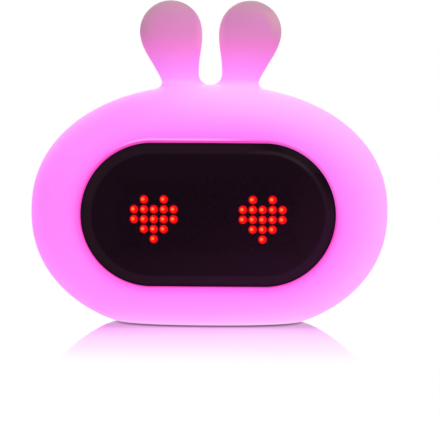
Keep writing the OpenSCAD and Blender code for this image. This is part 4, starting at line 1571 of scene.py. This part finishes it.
@dataclass
class Window:
    """The smoked lens, softened along both edges of its bevel."""

    centre: float = WINDOW_Z
    straight: float = WINDOW_STRAIGHT
    r: float = 29.0
    back_y: float = -36.1
    side: float = 0.8
    bevel_w: float = 4.5
    bevel_t: float = 1.6
    edge_r: float = 0.35
    edge_steps: int = 4
    sides: int = 126
    smooth: float = 50.0

    def build(self) -> bpy.types.Object:
        """Builds the lens.

        Returns:
            The lens.
        """
        lens = Bench.start(
            bpy.ops.mesh.primitive_circle_add, "window_lens", vertices=self.sides,
            radius=self.r * MM, fill_type="NGON", rotation=(math.pi / 2, 0.0, 0.0),
            location=metres((0.0, self.back_y, self.centre)),
        )
        Bench.edit(lens)
        for side in (-1, 1):
            Bench.pick(lens, Kind.VERTS, lambda vertex: vertex.co.x * side > 0)
            Bench.move((side * self.straight, 0.0, 0.0))
        Bench.pick(lens, Kind.FACES, lambda face: True)
        Bench.extrude((0.0, -self.side, 0.0))
        bpy.ops.mesh.inset(thickness=self.bevel_w * MM, depth=0.0)
        Bench.move((0.0, -self.bevel_t, 0.0))
        edge_y = (self.back_y - self.side) * MM
        front_y = edge_y - self.bevel_t * MM

        def on_edge(edge: bmesh.types.BMEdge) -> bool:
            """Whether an edge runs along the bevel's outer or inner line."""
            ends = [vertex.co.y for vertex in edge.verts]
            return any(max(abs(y - line) for y in ends) < TINY for line in (edge_y, front_y))

        Bench.pick(lens, Kind.EDGES, on_edge)
        bpy.ops.mesh.bevel(offset=self.edge_r * MM, segments=self.edge_steps, profile=0.5)
        Bench.tidy(lens, self.smooth)
        Bench.dress(lens, SmokedLens().material())
        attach(lens, "clock_body")
        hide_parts("display_lens")
        return lens


@dataclass
class SoftenedPart:
    """A copy of a solid with its sharp edges broken, as a mould leaves them."""

    node: str
    body: str
    slot: str
    width: float
    segments: int = 2
    angle: float = 38.0
    merge: float = 0.004
    flat_angle: float = 0.6

    def build(self, material: bpy.types.Material) -> bpy.types.Object:
        """Builds the softened copy.

        Args:
            material: What it is made of.

        Returns:
            The copy, which stands for the solid.
        """
        piece = Bench.copy(frame["nodes"][self.node], f"{self.node}_moulded")
        Bench.edit(piece, everything=True)
        bpy.ops.mesh.remove_doubles(threshold=self.merge * MM)
        bpy.ops.mesh.dissolve_limited(angle_limit=math.radians(self.flat_angle))
        Bench.apply(
            piece, "BEVEL", width=self.width * MM, segments=self.segments, limit_method="ANGLE",
            angle_limit=math.radians(self.angle), use_clamp_overlap=True, miter_outer="MITER_ARC",
        )
        Bench.tidy(piece, self.angle)
        Bench.apply(piece, "WEIGHTED_NORMAL", keep_sharp=True, weight=90)
        Bench.dress(piece, material)
        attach(piece, self.body)
        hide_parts(self.node)
        return piece


class Symbol(Enum):
    """What a button's raised mark shows."""

    CLOCK = "mode"
    LAMP = "light"
    BELL = "alarm"
    MINUS = "minus"
    PLUS = "plus"


@dataclass
class ButtonMarks:
    """The raised marks on the five buttons, drawn at the origin in x and z."""

    pitch: float = 12.0
    z: float = 57.0
    face_y: float = 38.2
    raised: float = 0.14
    line: float = 0.42
    thin_line: float = 0.252
    bar_l: float = 2.7
    dial_r: float = 1.6
    dial_wall: float = 0.336
    hand_at: Pair = (0.0, 0.38)
    hand_l: float = 0.9
    short_hand_at: Pair = (-0.26, 0.0)
    short_hand_l: float = 0.7
    bell_at: Pair = (0.0, 0.25)
    bell_r: float = 0.72
    bell_cut: float = 0.2
    bell_drop: float = 0.9
    bell_flare: float = 1.45
    bell_flat: float = 0.02
    clapper_at: Pair = (0.0, -1.08)
    clapper_r: float = 0.24
    clapper_sides: int = 16
    lamp_r: float = 0.66
    rays: int = 8
    ray_l: float = 0.6
    ray_out: float = 1.3

    def slab(self, at: Pair, size: Pair) -> bpy.types.Object:
        """Makes a thin bar.

        Args:
            at: Its middle, as x and z.
            size: Its size along x and z.

        Returns:
            The bar.
        """
        return Bench.start(
            bpy.ops.mesh.primitive_cube_add, "bar", size=1.0,
            location=metres((at[0], 0.0, at[1])),
            scale=metres((size[0], self.raised * 2, size[1])),
        )

    def disc(self, at: Pair, r: float, sides: int = 32) -> bpy.types.Object:
        """Makes a thin disc.

        Args:
            at: Its middle, as x and z.
            r: Its radius.
            sides: How many sides it has.

        Returns:
            The disc.
        """
        return Bench.start(
            bpy.ops.mesh.primitive_cylinder_add, "disc", vertices=sides, radius=r * MM,
            depth=self.raised * 2 * MM, location=metres((at[0], 0.0, at[1])),
            rotation=(math.pi / 2, 0.0, 0.0),
        )

    def ring(self) -> bpy.types.Object:
        """Makes a flat ring: a disc whose middle is inset and bridged through.

        Returns:
            The ring.
        """
        ring = self.disc(MIDDLE, self.dial_r)
        Bench.edit(ring)
        Bench.pick(ring, Kind.FACES, lambda face: abs(face.normal.y) > 0.9)
        bpy.ops.mesh.inset(thickness=self.dial_wall * MM, use_individual=True)
        bpy.ops.mesh.bridge_edge_loops()
        Bench.clear()
        return ring

    def bell(self) -> list[bpy.types.Object]:
        """Makes a bell: a round crown drawn down and out to its rim, with a clapper.

        Returns:
            The bell and the clapper.
        """
        bell = self.disc(self.bell_at, self.bell_r)
        Bench.edit(bell)
        Bench.pick(bell, Kind.VERTS, lambda vertex: vertex.co.z < self.bell_cut * MM)
        Bench.resize((1.0, 1.0, self.bell_flat), (0.0, 0.0, self.bell_cut))
        Bench.move((0.0, 0.0, -self.bell_drop))
        Bench.resize((self.bell_flare, 1.0, 1.0), ORIGIN)
        Bench.clear()
        return [bell, self.disc(self.clapper_at, self.clapper_r, self.clapper_sides)]

    def lamp(self) -> list[bpy.types.Object]:
        """Makes a lamp: a disc with rays.

        Returns:
            The disc and the rays.
        """
        pieces = [self.disc(MIDDLE, self.lamp_r)]
        for k in range(self.rays):
            ray = self.slab(MIDDLE, (self.ray_l, self.thin_line))
            Bench.edit(ray, everything=True)
            Bench.move((self.ray_out, 0.0, 0.0))
            Bench.turn(-360.0 * k / self.rays, "Y", ORIGIN)
            Bench.clear()
            pieces.append(ray)
        return pieces

    def shapes(self, symbol: Symbol) -> list[bpy.types.Object]:
        """Makes the shapes of one mark.

        Args:
            symbol: What it shows.

        Returns:
            The shapes, which are still apart.
        """
        if symbol is Symbol.CLOCK:
            hand = self.slab(self.hand_at, (self.thin_line, self.hand_l))
            short_hand = self.slab(self.short_hand_at, (self.short_hand_l, self.thin_line))
            return [self.ring(), hand, short_hand]
        if symbol is Symbol.BELL:
            return self.bell()
        if symbol is Symbol.LAMP:
            return self.lamp()
        bars = [self.slab(MIDDLE, (self.bar_l, self.line))]
        if symbol is Symbol.PLUS:
            bars.append(self.slab(MIDDLE, (self.line, self.bar_l)))
        return bars

    def build(self, symbol: Symbol, material: bpy.types.Material) -> bpy.types.Object:
        """Builds one button's mark.

        Args:
            symbol: What it shows.
            material: Its ink.

        Returns:
            The mark, on its button.
        """
        mark = Bench.unite(self.shapes(symbol))
        mark.name = mark.data.name = f"{symbol.value}_mark"
        Bench.edit(mark, everything=True)
        middle = (len(Symbol) - 1) / 2
        Bench.resize(MIRROR, ORIGIN)
        Bench.move(((list(Symbol).index(symbol) - middle) * self.pitch, self.face_y, self.z))
        Bench.tidy(mark)
        Bench.dress(mark, material)
        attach(mark, f"{symbol.value}_key")
        return mark


@dataclass
class Finishes:
    """The finish of each material slot, made once and shared."""

    made: dict[str, bpy.types.Material] = field(default_factory=dict)

    def recipes(self) -> dict[str, Finish]:
        """Lists the finishes.

        Returns:
            The finish of each slot that keeps its solids.
        """
        black = rgb(26, 25, 27)
        lit = (rgb(60, 4, 4), rgb(230, 0, 3), rgb(255, 0, 9), rgb(255, 140, 40))
        dark = (rgb(26, 22, 24), rgb(6, 4, 5), rgb(6, 4, 5), rgb(8, 6, 7))
        return {
            "foam": Foam(),
            "white_case": MaskedCase(),
            "black_mask": Moulding("mask_black", rgb(9, 6, 8), rgb(12, 8, 11), 0.75, specular=0.05),
            "lit_dot": DotEpoxy("lit_dot", *lit, strength=10.4),
            "dark_dot": DotEpoxy("dark_dot", *dark, strength=0.2),
            "board": Laminate(),
            "black_moulding": Moulding("chip_black", black, rgb(40, 39, 42), 0.5),
            "steel": Metal("nickel_steel", rgb(206, 207, 210), 0.32),
            "strip_film": Moulding("strip_film", rgb(228, 224, 208), rgb(240, 238, 230), 0.4),
            "light_chip": ChipLight(),
            "cell_wrap": Moulding("cell_wrap", rgb(54, 112, 184), rgb(48, 100, 170), 0.25, 400.0),
            "capacitor_can": Metal("can_aluminium", rgb(196, 198, 204), 0.38, (8.0, 1.0, 8.0)),
            "connector_nylon": Moulding("nylon", rgb(232, 226, 208), rgb(222, 214, 194), 0.4),
            "clear_pipe": ClearPipe(),
            "magnet": Metal("ferrite", rgb(70, 70, 76), 0.55, (4.0, 4.0, 4.0), 0.4),
            "copper": Metal("coil_wire", rgb(186, 104, 52), 0.3, (1.0, 40.0, 1.0)),
            "cone_paper": Moulding("cone_paper", black, rgb(44, 43, 46), 0.85, 700.0, 0.08),
            "soft_black": Moulding("soft_black", rgb(22, 22, 24), rgb(30, 30, 32), 0.75),
            "mesh_cloth": Woven(),
            "red_lead": Moulding("red_lead", rgb(204, 26, 26), rgb(188, 20, 20), 0.42, 500.0, 0.01),
            "white_lead": Moulding(
                "white_lead", rgb(232, 232, 230), rgb(220, 220, 218), 0.42, 500.0
            ),
            "grey_button": Moulding("button_grey", rgb(205, 206, 210), rgb(196, 197, 202), 0.42),
        }

    def dress_nodes(self) -> None:
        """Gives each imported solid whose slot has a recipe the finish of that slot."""
        recipes = self.recipes()
        for entry in frame["record"]["subparts"]:
            slot = entry["material_slot"]
            if slot not in recipes:
                continue
            if slot not in self.made:
                self.made[slot] = recipes[slot].material()
            Bench.dress(frame["nodes"][entry["node"]], self.made[slot])
            LOG.info("dressed %s as %s", entry["node"], slot)


@dataclass(frozen=True)
class Lamp:
    """A soft square lamp: its place and side in metres, its power in watts."""

    name: str
    place: Point
    size: float
    power: float
    target: Point = (0.0, 0.0, 0.05)

    def add(self) -> None:
        """Adds the lamp and turns it to the part."""
        lamp = bpy.data.lights.new(self.name, "AREA")
        lamp.shape = "SQUARE"
        lamp.size = self.size
        lamp.energy = self.power
        obj = bpy.data.objects.new(self.name, lamp)
        obj.location = self.place
        aim = Vector(self.target) - Vector(self.place)
        obj.rotation_euler = aim.to_track_quat("-Z", "Y").to_euler()
        bpy.context.scene.collection.objects.link(obj)


@dataclass
class Studio:
    """Floor, lamps, background and camera. Angles are in degrees."""

    distance: float = 1090.0
    elevation: float = 2.75
    yaw: float = 0.7
    roll: float = 0.35
    aim: Point = (4.35, 0.0, 44.85)
    field_w: float = 183.4
    sensor_w: float = 36.0
    clip: Pair = (0.05, 60.0)
    floor_side: float = 24.0
    ambient: float = 0.42
    lamps: tuple[Lamp, ...] = (
        Lamp("key", (0.75, -1.0, 1.1), 0.9, 13.0),
        Lamp("fill", (-1.1, -0.7, 0.6), 0.9, 3.5),
        Lamp("top", (0.15, -0.2, 1.5), 1.2, 2.5),
        Lamp("back", (-0.3, 1.3, 0.6), 1.0, 7.0),
    )

    def build_floor(self) -> None:
        """Lays the floor."""
        floor = Bench.start(bpy.ops.mesh.primitive_plane_add, "floor", size=self.floor_side)
        Bench.dress(floor, StudioFloor().material())

    def build_world(self) -> None:
        """Makes a white background that lights softly."""
        graph = Graph("studio", "worlds")
        level = graph.seen().between(self.ambient, 1.0)
        white = graph.add("ShaderNodeBackground", None, {"Color": WHITE, "Strength": level})
        graph.add("ShaderNodeOutputWorld", None, {"Surface": white.outputs[0]})
        bpy.context.scene.world = graph.material

    def build_camera(self) -> None:
        """Places the camera."""
        yaw, up = math.radians(self.yaw), math.radians(self.elevation)
        aim = Vector(self.aim) * MM
        level = math.cos(up)
        away = Vector((math.sin(yaw) * level, -math.cos(yaw) * level, math.sin(up)))
        data = bpy.data.cameras.new("camera")
        data.sensor_width = self.sensor_w
        data.lens = self.sensor_w * self.distance / self.field_w
        data.clip_start, data.clip_end = self.clip
        camera = bpy.data.objects.new("camera", data)
        camera.location = aim + away * self.distance * MM
        camera.rotation_euler = (-away).to_track_quat("-Z", "Y").to_euler()
        camera.rotation_euler.rotate_axis("Z", math.radians(self.roll))
        bpy.context.scene.collection.objects.link(camera)
        bpy.context.scene.camera = camera

    def build(self) -> None:
        """Builds the whole studio."""
        self.build_camera()
        self.build_floor()
        self.build_world()
        for lamp in self.lamps:
            lamp.add()
        bpy.context.scene.view_settings.view_transform = "Standard"


def main() -> None:
    """Builds every sub-assembly."""
    logging.basicConfig(level=logging.INFO, format="%(message)s")
    finishes = Finishes()
    finishes.dress_nodes()
    LOG.info("built %s", SiliconeBody().build().name)
    LOG.info("built %s", Window().build().name)
    case = finishes.made["white_case"]
    knob = Moulding("knob_black", rgb(58, 58, 62), rgb(74, 74, 78), 0.5).material()
    for part, skin in (
        (SoftenedPart("rear_cover", "clock_body", "white_case", 0.3), case),
        (SoftenedPart("power_knob", "power_slider", "black_moulding", 0.1), knob),
    ):
        LOG.info("built %s", part.build(skin).name)
    ink = Moulding("mark_ink", rgb(70, 70, 76), rgb(84, 84, 90), 0.5).material()
    marks = ButtonMarks()
    for symbol in Symbol:
        LOG.info("built %s", marks.build(symbol, ink).name)
    Studio().build()


if __name__ == "__main__":
    main()
